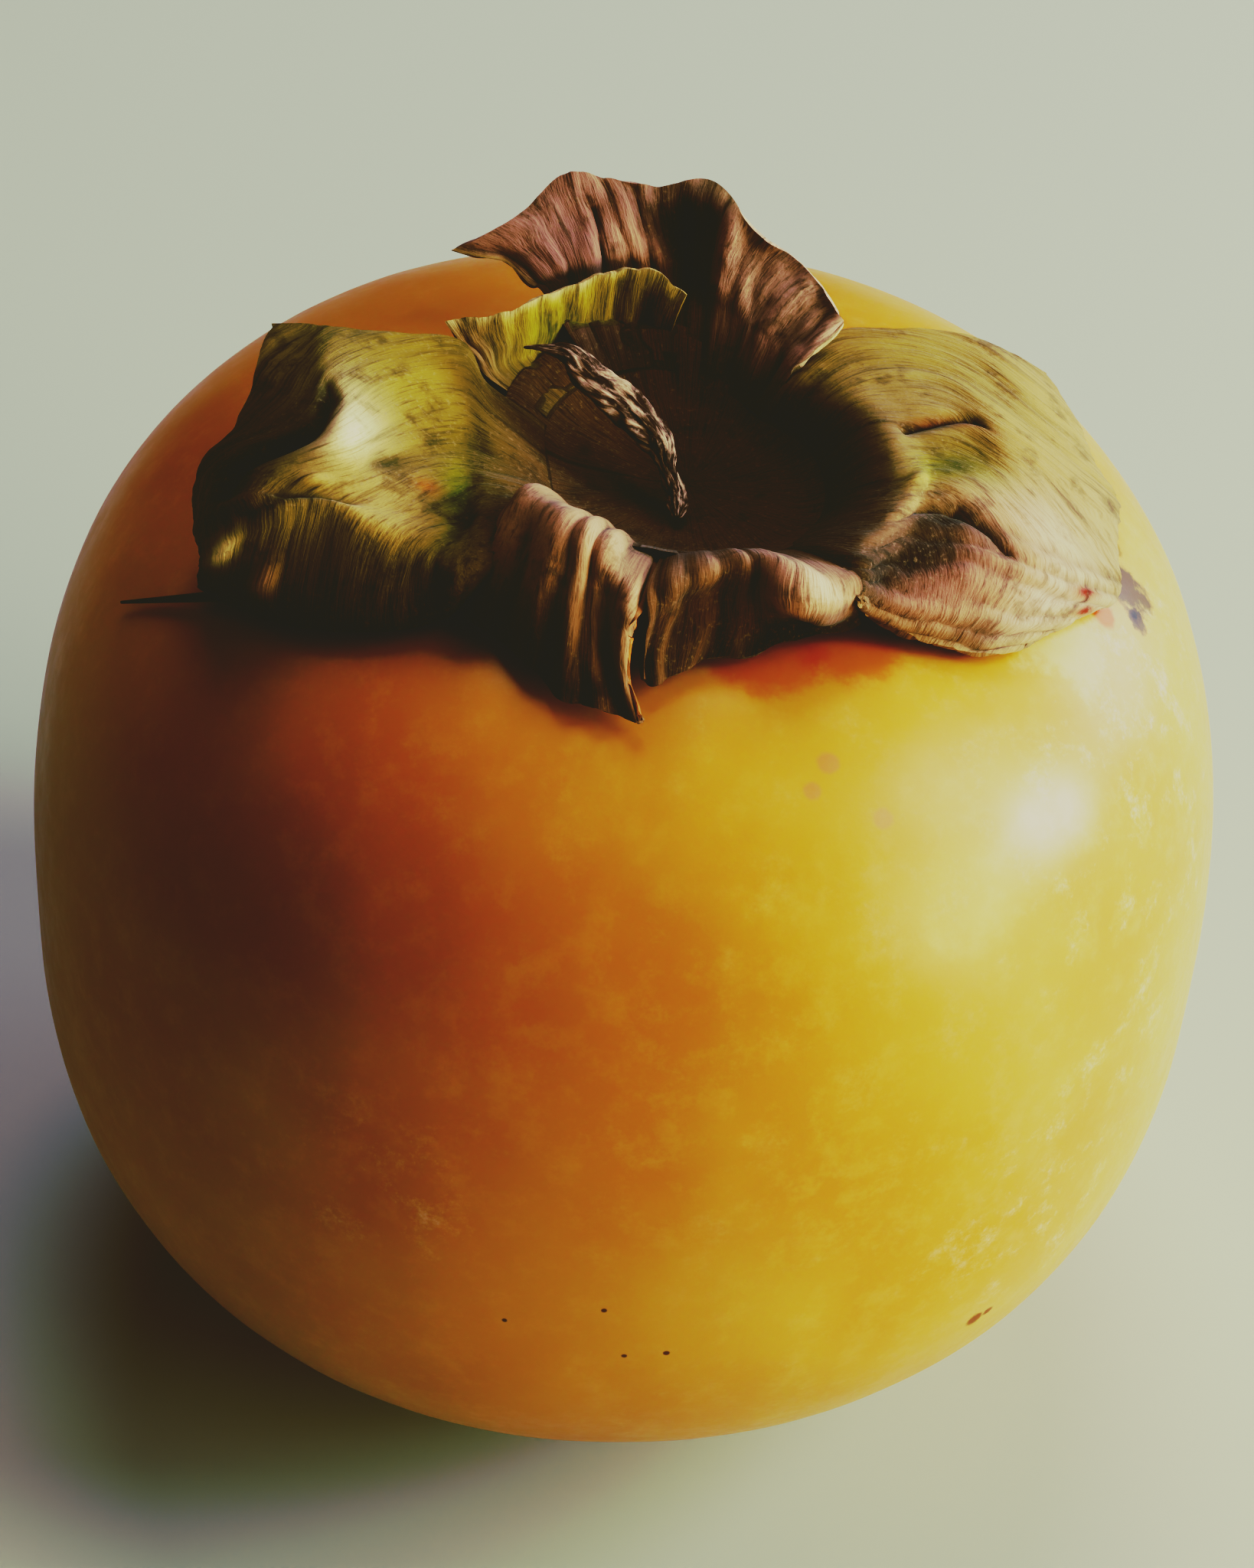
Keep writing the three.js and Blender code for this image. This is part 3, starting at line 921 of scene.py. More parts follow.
    @staticmethod
    def surface(control: np.ndarray, across: np.ndarray, along: np.ndarray) -> np.ndarray:
        """Points of the blade's middle surface.

        Args:
            control: The net as x, y and lift.
            across: Place across the blade, from 0 to 1.
            along: Place along the blade, from 0 to 1.

        Returns:
            One row of x, y and z for each place.
        """
        row_index, row_weights = curve_weights(across, control.shape[0])
        column_index, column_weights = curve_weights(along, control.shape[1])
        corner = control[row_index[:, :, None], column_index[:, None, :]]
        x, y, lift = np.einsum("mi,mj,mijd->dm", row_weights, column_weights, corner)
        least_lift = 0.75
        return FORM.above(x, y, np.maximum(lift, least_lift))

    def mark(
        self, bm: bmesh.types.BMesh, across: np.ndarray, along: np.ndarray,
        span: float, length: float, seed: float, relief: np.ndarray,
    ) -> None:
        """Write the blade's own coordinates, tints with painted fold shade and highlight, and thickness
        on its vertices.

        Args:
            bm: The blade's mesh.
            across: Place across the blade, from 0 to 1.
            along: Place along the blade, from 0 to 1.
            span: Width of the blade in millimetres.
            length: Length of the blade in millimetres.
            seed: Number that keeps the blade's pattern its own.
            relief: Height of the folds, which are painted lighter on top as highlight and darker below as
                shade.
        """
        blade = bm.verts.layers.float_vector.new("blade")
        tint = bm.verts.layers.float_color.new("tint")
        weight = bm.verts.layers.deform.verify()
        hollow, flat, crest, top = -0.3, 0.05, 0.1, 0.5
        crest_gain = 0.25
        thinning_starts = 0.35
        # Painted shade in the hollows of the folds and painted highlight on their crests, multiplied into
        # the tints.
        lit_tone = self.hollow_shade + (1 - self.hollow_shade) * smooth_step(hollow, flat, relief)
        lit_tone += crest_gain * smooth_step(crest, top, relief)
        shade = np.stack([lit_tone, lit_tone, lit_tone, np.ones_like(lit_tone)], axis=1)
        colours = self.tint_colours(across, along) * shade
        margin = 1 - self.margin_thickness / self.thickness
        thin = 1 - margin * smooth_step(thinning_starts, 1.0, along)
        fibres = self.fibre_places(across, along, span, length, seed)
        for number, vertex in enumerate(bm.verts):
            vertex[blade] = fibres[number]
            vertex[tint] = colours[number]
            vertex[weight][0] = thin[number]


OLIVE = (0.25, 0.185, 0.062, 1.0)
DARK_OLIVE = (0.10, 0.08, 0.025, 1.0)
LEAF_GREEN = (0.30, 0.29, 0.028, 1.0)
YELLOW_GREEN = (0.42, 0.34, 0.10, 1.0)
STRAW = (0.52, 0.40, 0.19, 1.0)
CREAM = (0.72, 0.60, 0.36, 1.0)
TAN = (0.48, 0.32, 0.20, 1.0)
MAUVE = (0.48, 0.28, 0.21, 1.0)
ROSE = (0.64, 0.44, 0.32, 1.0)
PALE_ROSE = (0.84, 0.64, 0.50, 1.0)
BROWN = (0.21, 0.125, 0.068, 1.0)
DARK_BROWN = (0.065, 0.042, 0.026, 1.0)
RED_BROWN = (0.28, 0.045, 0.020, 1.0)
AMBER = (0.50, 0.22, 0.06, 1.0)

LEFT_LOBE = Lobe(
    name="left_lobe",
    net=(
        (
            (166, 13.8, 3), (160, 16, 4.3), (168, 18.8, 5.5),
            (172, 21.5, 6.6), (172, 23, 7), (172, 24.8, 7.2),
        ),
        (
            (185, 12.7, 3.2), (175, 15, 3.6), (182, 18.1, 5.6),
            (187, 20.9, 7.4), (183, 22.5, 7.2), (179, 24.8, 7),
        ),
        (
            (203, 13.1, 3.1), (196, 15.1, 3.2), (198, 18.5, 5.2),
            (201, 21.4, 7.6), (196, 23.4, 7.4), (189, 26.1, 6.2),
        ),
        (
            (212, 14.1, 3.1), (208, 15.9, 3.2), (207, 19.2, 4.8),
            (206, 22.4, 6.8), (200, 25.4, 7.4), (192, 28.1, 5.2),
        ),
        (
            (221, 15.5, 3.3), (221, 17.7, 3.6), (215, 20.6, 4.8),
            (208, 23.9, 6.6), (204, 26.9, 7.4), (199, 29.3, 4.8),
        ),
        (
            (233, 19.7, 4.2), (227, 20.8, 4.4), (221, 22.1, 4.8),
            (212, 23.9, 6.2), (209, 26.4, 6.8), (205, 29.3, 5.2),
        ),
        ((231, 20, 1.8), (229, 22.4, 1), (223, 25.1, 1), (215, 27.7, 1), (207, 29.5, 1), (200, 31.1, 1)),
    ),
    cells=(104, 80),
    margin_wave=0.03,
    waves=3,
    ground=OLIVE,
    fibre_pivot=(0.9, 0.2),
    dents=(
        Dent((0.62, 0.33), (0.16, 0.05), -0.3),
        Dent((0.45, 0.56), (0.06, 0.06), -0.3),
        Dent((0.38, 0.68), (0.12, 0.06), 0.5),
        Dent((0.93, 0.78), (0.03, 0.04), 0.5),
        Dent((0.86, 0.93), (0.05, 0.05), 0.4),
        Dent((0.60, 0.68), (0.05, 0.04), 0.35),
        Dent((0.72, 0.72), (0.04, 0.05), -0.4),
    ),
    creases=(
        Crease((0.24, 0.70), (0.43, 0.80), -0.8, 0.7),
        Crease((0.43, 0.80), (0.66, 0.88), -0.8, 0.7),
        Crease((0.72, 0.62), (0.8, 0.84), -0.3, 0.7),
    ),
    tints=(
        Tint((0.15, 0.5), (0.2, 0.25), YELLOW_GREEN, 0.55),
        # Painted highlight on the lit slope below the crest.
        Tint((0.36, 0.66), (0.17, 0.10), (0.80, 0.68, 0.44, 1.0)),
        Tint((0.62, 0.58), (0.22, 0.16), STRAW, 0.9),
        Tint((0.60, 0.34), (0.2, 0.06), LEAF_GREEN, 0.9),
        Tint((0.1, 0.95), (0.14, 0.1), STRAW, 0.6),
        # Painted shade: these three tints darken the shaded side of the crest, along the crease.
        Tint((0.27, 0.745), (0.07, 0.035), DARK_BROWN, 0.8),
        Tint((0.40, 0.80), (0.08, 0.035), DARK_BROWN, 0.8),
        Tint((0.56, 0.84), (0.12, 0.06), DARK_OLIVE, 0.9),
        Tint((0.72, 0.78), (0.05, 0.06), BROWN, 0.7),
        Tint((0.80, 0.55), (0.1, 0.2), STRAW, 0.7),
        # Painted highlights on the two small bumps near the tip that catch the light.
        Tint((0.86, 0.92), (0.05, 0.05), CREAM),
        Tint((0.93, 0.78), (0.03, 0.035), ROSE),
        Tint((0.55, 0.44), (0.03, 0.03), AMBER, 0.7),
        Tint((0.5, 0.04), (0.8, 0.14), BROWN, 0.85),
        # Painted shade on the front wall, which turns away from the light.
        Tint((1.02, 0.5), (0.07, 0.8), DARK_BROWN, 0.9),
    ),
)
BACK_LOBE = Lobe(
    name="back_lobe",
    net=(
        ((131, 15.3, 4.5), (134, 16.2, 5.2), (136, 17.5, 6), (141, 18.5, 6.5), (144, 19.4, 7)),
        ((126, 15, 4.5), (128, 15.7, 6), (130, 16.8, 7), (131, 17.3, 8), (133, 17.9, 8.5)),
        ((118, 14.6, 4.5), (119, 15.3, 6.5), (119, 16.7, 8), (120, 17.6, 9.3), (119, 18.6, 10)),
        ((107, 14.6, 4.5), (109, 15.1, 6.5), (110, 16.1, 8), (111, 16.8, 9.3), (112, 17.7, 10)),
        ((97, 13.7, 4.5), (98, 14.7, 6), (100, 15.7, 7.5), (101, 16.3, 9), (101, 17, 9.8)),
        ((89, 13, 4.2), (90, 14.1, 6), (90, 15.4, 7.8), (90, 16.2, 9.3), (89, 17.4, 10)),
        ((81, 12.1, 4), (81, 13.1, 5.5), (80, 14, 6.8), (78, 14.6, 8), (76, 14.9, 9)),
        ((70, 11.2, 3.8), (70, 12.3, 4.8), (68, 13.3, 6), (65, 14.1, 7), (62, 14.6, 7.8)),
        ((57, 10.3, 3.5), (56, 11.3, 4.2), (54, 12.5, 5), (52, 13.4, 5.8), (49, 13.9, 6.3)),
        ((48, 9.9, 3.4), (47, 10.7, 3.8), (46, 11.8, 4.3), (45, 13.1, 4.8), (46, 14.1, 5.2)),
    ),
    cells=(116, 54),
    margin_wave=0.04,
    waves=4,
    ground=(0.42, 0.27, 0.23, 1.0),
    wrinkle=0.2,
    hollow_shade=0.6,
    pleats=(
        Pleats(count=17, depth=0.05, root=0.1, wander=1.8),
        Pleats(count=7, depth=0.1, phase=0.3, root=0.2, wander=1.6),
    ),
    dents=(
        Dent((0.5, 0.62), (0.075, 0.36), -1.0),
        Dent((0.63, 0.6), (0.03, 0.4), 0.4),
    ),
    creases=(
        Crease((0.25, 0.2), (0.27, 0.7), -0.35, 0.35, True),
        Crease((0.39, 0.2), (0.4, 0.95), -0.3, 0.35, True),
    ),
    tints=(
        Tint((0.35, 1.0), (0.3, 0.2), TAN, 0.6),
        Tint((0.34, 0.45), (0.06, 0.25), ROSE, 0.6),
        Tint((0.82, 0.8), (0.2, 0.35), PALE_ROSE, 0.85),
        Tint((0.74, 0.5), (0.09, 0.3), PALE_ROSE, 0.7),
        # Painted shade in the hollow of the lobe's fold.
        Tint((0.5, 0.55), (0.06, 0.33), DARK_BROWN, 0.75),
        Tint((0.6, 1.0), (0.05, 0.12), CREAM, 0.7),
        # Painted highlight on the left margin's edge, which catches the light.
        Tint((0.0, 0.7), (0.02, 0.5), STRAW, 0.8),
        Tint((1.0, 0.8), (0.012, 0.5), CREAM, 0.9),
        Tint((0.5, 0.03), (0.9, 0.16), DARK_BROWN, 0.8),
    ),
)
BACK_FLAP = Lobe(
    name="back_flap",
    net=(
        ((162, 13.5, 2.5), (159, 15.2, 3.5), (159, 16.2, 4.2), (157, 17.4, 5)),
        ((156, 13.6, 2.5), (154, 14.5, 3.8), (154, 15, 4.8), (152, 15.4, 5.6)),
        ((145, 13.3, 2.3), (144, 13.7, 3.8), (144, 14, 5.2), (142, 14.4, 6)),
        ((132, 13.2, 2.2), (131, 13.5, 3.8), (131, 13.6, 5.4), (129, 14, 6.4)),
        ((120, 12.7, 2), (119, 13, 3.8), (118, 13.4, 5.5), (117, 13.7, 6.8)),
        ((109, 12.1, 2), (108, 12.5, 3.8), (107, 12.8, 5.6), (105, 13.3, 7)),
        ((98, 11.3, 2), (97, 11.7, 3.6), (95, 12.2, 4.8), (93, 12.6, 5.6)),
    ),
    cells=(76, 32),
    margin_wave=0.06,
    waves=4,
    fray=0.07,
    ground=YELLOW_GREEN,
    hollow_shade=0.7,
    pleats=(Pleats(count=9, depth=0.07, root=0.2, wander=1.6),),
    tints=(
        Tint((0.0, 0.6), (0.22, 0.5), TAN, 0.85),
        Tint((0.42, 0.55), (0.14, 0.3), LEAF_GREEN, 0.6),
        Tint((0.5, 1.0), (0.8, 0.1), CREAM, 0.85),
        Tint((0.9, 0.4), (0.2, 0.6), BROWN, 0.8),
        Tint((0.5, 0.05), (0.9, 0.2), BROWN, 0.8),
    ),
)
RIGHT_LOBE = Lobe(
    name="right_lobe",
    net=(
        ((49, 10, 3.2), (51, 14.3, 3), (44, 17.1, 3), (37, 20.6, 3), (32, 23, 3), (28, 25.4, 2.6)),
        ((25, 10.2, 4), (31, 13.6, 3.5), (30, 17, 3), (24, 19.5, 3), (18, 21.8, 3), (18, 25.3, 2.1)),
        ((4, 11.5, 4.5), (8, 14, 4), (11, 16.7, 3.5), (7, 19, 3.5), (8, 22.5, 2.5), (10, 26.2, 1.6)),
        (
            (-21, 13.5, 4.5), (-9, 15, 3.6), (-3, 17.3, 2.9),
            (-3, 19.8, 2.9), (-1, 23.2, 2.1), (5, 27.3, 1.2),
        ),
        (
            (-36, 14.9, 4.8), (-25, 15.7, 4.2), (-19, 17.7, 4),
            (-17, 20.6, 3.4), (-11, 23.4, 2), (-6, 26.8, 1),
        ),
        (
            (-56, 16.8, 5.5), (-41, 16.7, 4), (-32, 18.4, 3.6),
            (-26, 21.4, 3), (-19, 24.2, 1.8), (-13, 27.2, 1),
        ),
        (
            (-59, 17.8, 5), (-53, 18.3, 3.5), (-45, 19.4, 2.6),
            (-38, 21, 2.2), (-32, 23, 1.6), (-23, 25.3, 1),
        ),
        (
            (-60, 18.3, 4.5), (-56, 18.4, 2.5), (-50, 19.9, 1.2),
            (-45, 21.7, 1), (-40, 23.3, 1), (-33, 24.4, 1),
        ),
    ),
    cells=(116, 78),
    margin_wave=0.03,
    waves=4,
    ground=(0.46, 0.33, 0.17, 1.0),
    fibre_pivot=(0.95, 0.15),
    hollow_shade=0.6,
    pleats=(Pleats(count=15, depth=0.11, first=0.62, last=1.0, root=0.1, wander=1.6),),
    dents=(
        Dent((0.5, 0.27), (0.05, 0.05), 0.4),
    ),
    creases=(
        Crease((0.33, 0.28), (0.30, 0.59), -1.2, 0.22, True),
        Crease((0.61, 0.31), (0.62, 0.46), -0.9, 0.4, True),
        Crease((0.62, 0.46), (0.69, 0.64), -0.7, 0.4, True),
    ),
    tints=(
        Tint((0.12, 0.45), (0.2, 0.45), YELLOW_GREEN, 0.6),
        Tint((0.60, 0.70), (0.14, 0.2), ROSE, 0.9),
        Tint((0.80, 0.85), (0.16, 0.16), (0.74, 0.54, 0.42, 1.0), 0.8),
        Tint((0.46, 0.42), (0.08, 0.19), LEAF_GREEN, 0.95),
        # Painted shade in the dimple below the slit.
        Tint((0.46, 0.44), (0.05, 0.1), DARK_OLIVE, 0.7),
        # Painted shade in the slit's opening.
        Tint((0.315, 0.44), (0.014, 0.13), RED_BROWN, 0.9),
        Tint((0.80, 0.48), (0.17, 0.33), MAUVE, 0.95),
        # Painted shade along the curved crease and beside it near the bowl.
        Tint((0.66, 0.42), (0.03, 0.16), DARK_BROWN, 0.8),
        Tint((0.80, 0.28), (0.13, 0.16), DARK_BROWN, 0.85),
        Tint((0.74, 0.44), (0.08, 0.15), DARK_BROWN, 0.85),
        Tint((0.38, 0.42), (0.05, 0.16), OLIVE, 0.7),
        Tint((0.93, 0.74), (0.05, 0.08), BROWN, 0.8),
        Tint((0.73, 0.90), (0.02, 0.03), RED_BROWN),
        Tint((0.80, 0.97), (0.02, 0.02), RED_BROWN),
        Tint((0.5, 0.03), (0.9, 0.15), DARK_BROWN, 0.8),
    ),
)
FRONT_LOBE = Lobe(
    name="front_lobe",
    net=(
        ((224, 14.8, 4.2), (226, 16.5, 3.6), (227, 18.4, 2.6), (228, 19.8, 1.6)),
        ((227, 14.5, 5.4), (231, 17, 4.8), (233, 19.1, 3.2), (233, 20.8, 1)),
        ((243, 16, 6.6), (244, 18.4, 5.6), (245, 20.4, 3.9), (245, 21.8, 1)),
        ((248, 16.3, 6.8), (250, 18.5, 5.6), (252, 21, 3.8), (253, 23.1, 1)),
        ((253, 16.4, 6.2), (254, 18.5, 5), (256, 20.8, 2.9), (259, 23.4, 1)),
        ((260, 18.2, 5.4), (260, 20.1, 4.2), (261, 21.7, 2.5), (264, 23.4, 1)),
        ((262, 18.8, 5), (261, 20.4, 3.8), (262, 21.9, 2.2), (265, 23.5, 1)),
    ),
    cells=(80, 50),
    margin_wave=0.04,
    waves=3,
    ground=TAN,
    hollow_shade=0.6,
    pleats=(Pleats(count=6, depth=0.2, first=0.08, root=0.05, wander=0.6),),
    tints=(
        Tint((0.55, 0.32), (0.6, 0.12), ROSE, 0.6),
        Tint((0.5, 0.95), (0.8, 0.3), BROWN, 0.85),
        # Painted highlight on the right edge, which catches the light.
        Tint((1.0, 0.7), (0.03, 0.4), AMBER, 0.9),
        Tint((0.0, 0.7), (0.03, 0.4), AMBER, 0.6),
        Tint((0.5, 0.03), (0.9, 0.12), BROWN, 0.8),
    ),
)
FRONT_FLAP = Lobe(
    name="front_flap",
    net=(
        ((263, 18.3, 5.5), (263, 19.5, 4), (263, 20, 2), (264, 20.9, 1)),
        ((268, 17.6, 6), (267, 18.3, 4.3), (266, 19.1, 2.3), (267, 21, 1)),
        ((276, 16.6, 6), (274, 17.2, 4.5), (274, 18, 2.3), (272, 19.4, 1)),
        ((283, 16.3, 6), (283, 17.2, 4.4), (283, 17.6, 2.2), (282, 18.8, 1)),
        ((288, 16.8, 6), (288, 18.2, 5.4), (289, 18.3, 3.4), (291, 18.1, 1)),
        ((293, 17.5, 5.8), (293, 18.7, 5.2), (294, 19, 3), (298, 18.2, 1)),
        ((301, 17.7, 5.2), (302, 18.2, 4.2), (304, 18.1, 2.2), (305, 18.2, 1)),
    ),
    cells=(76, 36),
    margin_wave=0.05,
    waves=5,
    ground=BROWN,
    hollow_shade=0.6,
    pleats=(Pleats(count=7, depth=0.14, last=0.5, root=0.1, wander=1.2),),
    dents=(
        Dent((0.74, 0.46), (0.2, 0.16), 0.9),
        Dent((0.74, 0.86), (0.22, 0.12), -0.8),
    ),
    tints=(
        Tint((0.4, 0.24), (0.6, 0.08), TAN, 0.8),
        Tint((0.76, 0.42), (0.22, 0.2), ROSE, 0.95),
        Tint((0.02, 0.97), (0.08, 0.1), ROSE, 0.8),
        # Painted shadow in the gap under the curled-out margin.
        Tint((0.72, 0.98), (0.3, 0.12), DARK_BROWN, 0.9),
        Tint((0.5, 0.03), (0.9, 0.1), BROWN, 0.8),
    ),
)


@dataclass(frozen=True)
class Sliver:
    """A dried tip drawn out to a point, with its thick end inside a lobe.

    Both ends are given as azimuth, radius and lift round the hub.
    """

    start: Triple
    end: Triple
    radius: float
    taper: float = 0.25
    sides: int = 10

    def build(self) -> bpy.types.Object:
        """Model the sliver from a cone laid along its line.

        Returns:
            The closed sliver.
        """
        ends = np.array([self.start, self.end])
        x, y = FORM.plan(ends[:, 0], ends[:, 1])
        start, end = (Vector(point) for point in FORM.above(x, y, ends[:, 2]) * MM)
        line = end - start
        turn = line.to_track_quat("Z", "Y").to_matrix().to_4x4()
        bm = bmesh.new()
        bmesh.ops.create_cone(
            bm, cap_ends=True, segments=self.sides,
            radius1=self.radius * MM, radius2=self.taper * self.radius * MM,
            depth=line.length, matrix=Matrix.Translation(start + line / 2) @ turn,
        )
        blade = bm.verts.layers.float_vector.new("blade")
        tint = bm.verts.layers.float_color.new("tint")
        for vertex in bm.verts:
            vertex[blade] = (0.0, 0.0, 3.0)
            vertex[tint] = DARK_BROWN
        return object_of("sliver", bm, bpy.data.materials["dried_calyx"])


@dataclass
class Calyx:
    """Bowl and lobes of the dried calyx, grown together as one piece."""

    finish: DryCalyxFinish
    lobes: tuple[Lobe, ...] = (LEFT_LOBE, BACK_LOBE, BACK_FLAP, RIGHT_LOBE, FRONT_LOBE, FRONT_FLAP)
    rim: tuple[Triple, ...] = (
        (0, 12, 4.2), (25, 10.6, 3.8), (47, 10, 3.4), (68, 10.9, 3.8), (85, 12, 4.2), (105, 13.2, 4.4),
        (135, 13.8, 3.4), (163, 13.6, 3), (192, 12.9, 3.2), (215, 14.0, 3.4), (235, 15, 5.2),
        (255, 15.4, 5.6), (275, 15.4, 5.5), (300, 16, 5), (323, 14.6, 4.6), (343, 13, 4.4),
    )
    bowl_thickness: float = 1.1
    floor_lift: float = 1.0
    floor_share: float = 0.58
    root_share: float = 0.74
    root_sink: float = 0.2
    rim_share: float = 0.93
    climb: float = 1.5
    columns: int = 120
    rings: int = 44
    bowl_colour: Colour = BROWN
    blank_level: float = 0.9
    slivers: tuple[Sliver, ...] = (Sliver((204.5, 30.0, 1.2), (193.0, 35.3, 0.45), 0.34),)

    def rim_at(self, azimuth: float) -> Pair:
        """Radius and lift of the bowl's rim, smooth all the way round.

        Args:
            azimuth: Direction from the hub in degrees.

        Returns:
            The radius and the lift.
        """
        turn = azimuth % 360
        laps = (-2, -1, 0, 1)
        wrapped = [(a + 360 * lap, radius, lift) for lap in laps for a, radius, lift in self.rim]
        after = next(i for i, point in enumerate(wrapped) if point[0] > turn)
        near = np.array(wrapped[after - 2:after + 2])
        share = (1 + (turn - near[1, 0]) / (near[2, 0] - near[1, 0])) / 3
        _, radius, lift = along_curve(near, np.array([share]))[0]
        return radius, lift

    def bowl_point(self, azimuth: float, share: float) -> Triple:
        """Point of the bowl's middle surface at a share of the way to its rim.

        Args:
            azimuth: Direction from the hub in degrees.
            share: Share of the way from the hub to the rim.

        Returns:
            Azimuth, radius and lift.
        """
        radius, lift = self.rim_at(azimuth)
        rise = max(share - self.floor_share, 0) / (1 - self.floor_share)
        return azimuth, radius * share, self.floor_lift + (lift - self.floor_lift) * rise ** self.climb

    def root(self, azimuth: float) -> Triple:
        """Where a lobe's root sits in the bowl's wall."""
        place, radius, lift = self.bowl_point(azimuth, self.root_share)
        return place, radius, lift + self.root_sink

    def bowl(self) -> bpy.types.Object:
        """Model the bowl from a sphere pressed into its two faces.

        Returns:
            The closed bowl.
        """
        bm = bmesh.new()
        bmesh.ops.create_uvsphere(bm, u_segments=self.columns, v_segments=self.rings, radius=1.0)
        direction = np.array([vertex.co[:] for vertex in bm.verts])
        azimuth = np.degrees(np.arctan2(direction[:, 1], direction[:, 0]))
        tilt = np.arccos(np.clip(np.abs(direction[:, 2]), 0, 1)) / (math.pi / 2)
        face = np.sign(direction[:, 2]) * np.sqrt(np.clip(1 - tilt ** 8, 0, 1))
        reach = tilt * self.rim_share
        polar = np.array([self.bowl_point(a, share) for a, share in zip(azimuth, reach)])
        x, y = FORM.plan(polar[:, 0], polar[:, 1])
        flat = np.stack([x, y, np.zeros_like(x)], axis=1)
        crumple = 0.22 * ripple(flat, 4.0, 4, 31.0) * smooth_step(0.0, 0.25, tilt)
        lift = polar[:, 2] + face * self.bowl_thickness / 2 + crumple
        place_vertices(bm, FORM.above(x, y, lift))
        blade = bm.verts.layers.float_vector.new("blade")
        tint = bm.verts.layers.float_color.new("tint")
        for number, vertex in enumerate(bm.verts):
            vertex[blade] = (math.radians(azimuth[number]) * 12, polar[number, 1], 5.0)
            vertex[tint] = self.bowl_colour
        bmesh.ops.recalc_face_normals(bm, faces=bm.faces[:])
        return object_of("dried_calyx", bm, bpy.data.materials["dried_calyx"])

    def build(self) -> bpy.types.Object:
        """Model the bowl and the lobes and join them.

        Returns:
            The calyx.
        """
        self.finish.material()
        calyx = self.bowl()
        blades = [lobe.build(self.root, index) for index, lobe in enumerate(self.lobes)]
        blades += [sliver.build() for sliver in self.slivers]
        group = bpy.data.collections.new("calyx_blades")
        bpy.context.scene.collection.children.link(group)
        for blade in blades:
            group.objects.link(blade)
        union = calyx.modifiers.new("union", "BOOLEAN")
        union.operation = "UNION"
        union.operand_type = "COLLECTION"
        union.collection = group
        union.solver = "MANIFOLD"
        settle(calyx)
        for blade in blades:
            bpy.data.objects.remove(blade)
        bpy.data.collections.remove(group)
        self.keep_largest(calyx)
        self.heal(calyx)
        for polygon in calyx.data.polygons:
            polygon.use_smooth = True
        calyx.data.set_sharp_from_angle(angle=math.radians(50))
        return calyx

    @staticmethod
    def keep_largest(calyx: bpy.types.Object) -> None:
        """Take away the crumbs that the union leaves loose.

        Args:
            calyx: The joined calyx.
        """
        bm = bmesh.new()
        bm.from_mesh(calyx.data)
        left = set(bm.verts)
        parts = []
        while left:
            part = {left.pop()}
            edge = list(part)
            while edge:
                around = {link.other_vert(edge[-1]) for link in edge[-1].link_edges} & left
                edge.pop()
                edge.extend(around)
                part |= around
                left -= around
            parts.append(part)
        parts.sort(key=len, reverse=True)
        loose = [vertex for part in parts[1:] for vertex in part]
        bmesh.ops.delete(bm, geom=loose, context="VERTS")
        bm.to_mesh(calyx.data)
        bm.free()

    def heal(self, calyx: bpy.types.Object) -> None:
        """Give the vertices that the union added the values of the nearest vertex that has them.

        Args:
            calyx: The joined calyx.
        """
        mesh = calyx.data
        tints = mesh.attributes["tint"].data
        places = mesh.attributes["blade"].data
        blank = [min(tint.color[:3]) > self.blank_level for tint in tints]
        tree = KDTree(len(blank) - sum(blank))
        for vertex in mesh.vertices:
            if not blank[vertex.index]:
                tree.insert(vertex.co, vertex.index)
        tree.balance()
        for vertex in mesh.vertices:
            if blank[vertex.index]:
                nearest = tree.find(vertex.co)[1]
                tints[vertex.index].color = tints[nearest].color
                places[vertex.index].vector = places[nearest].vector


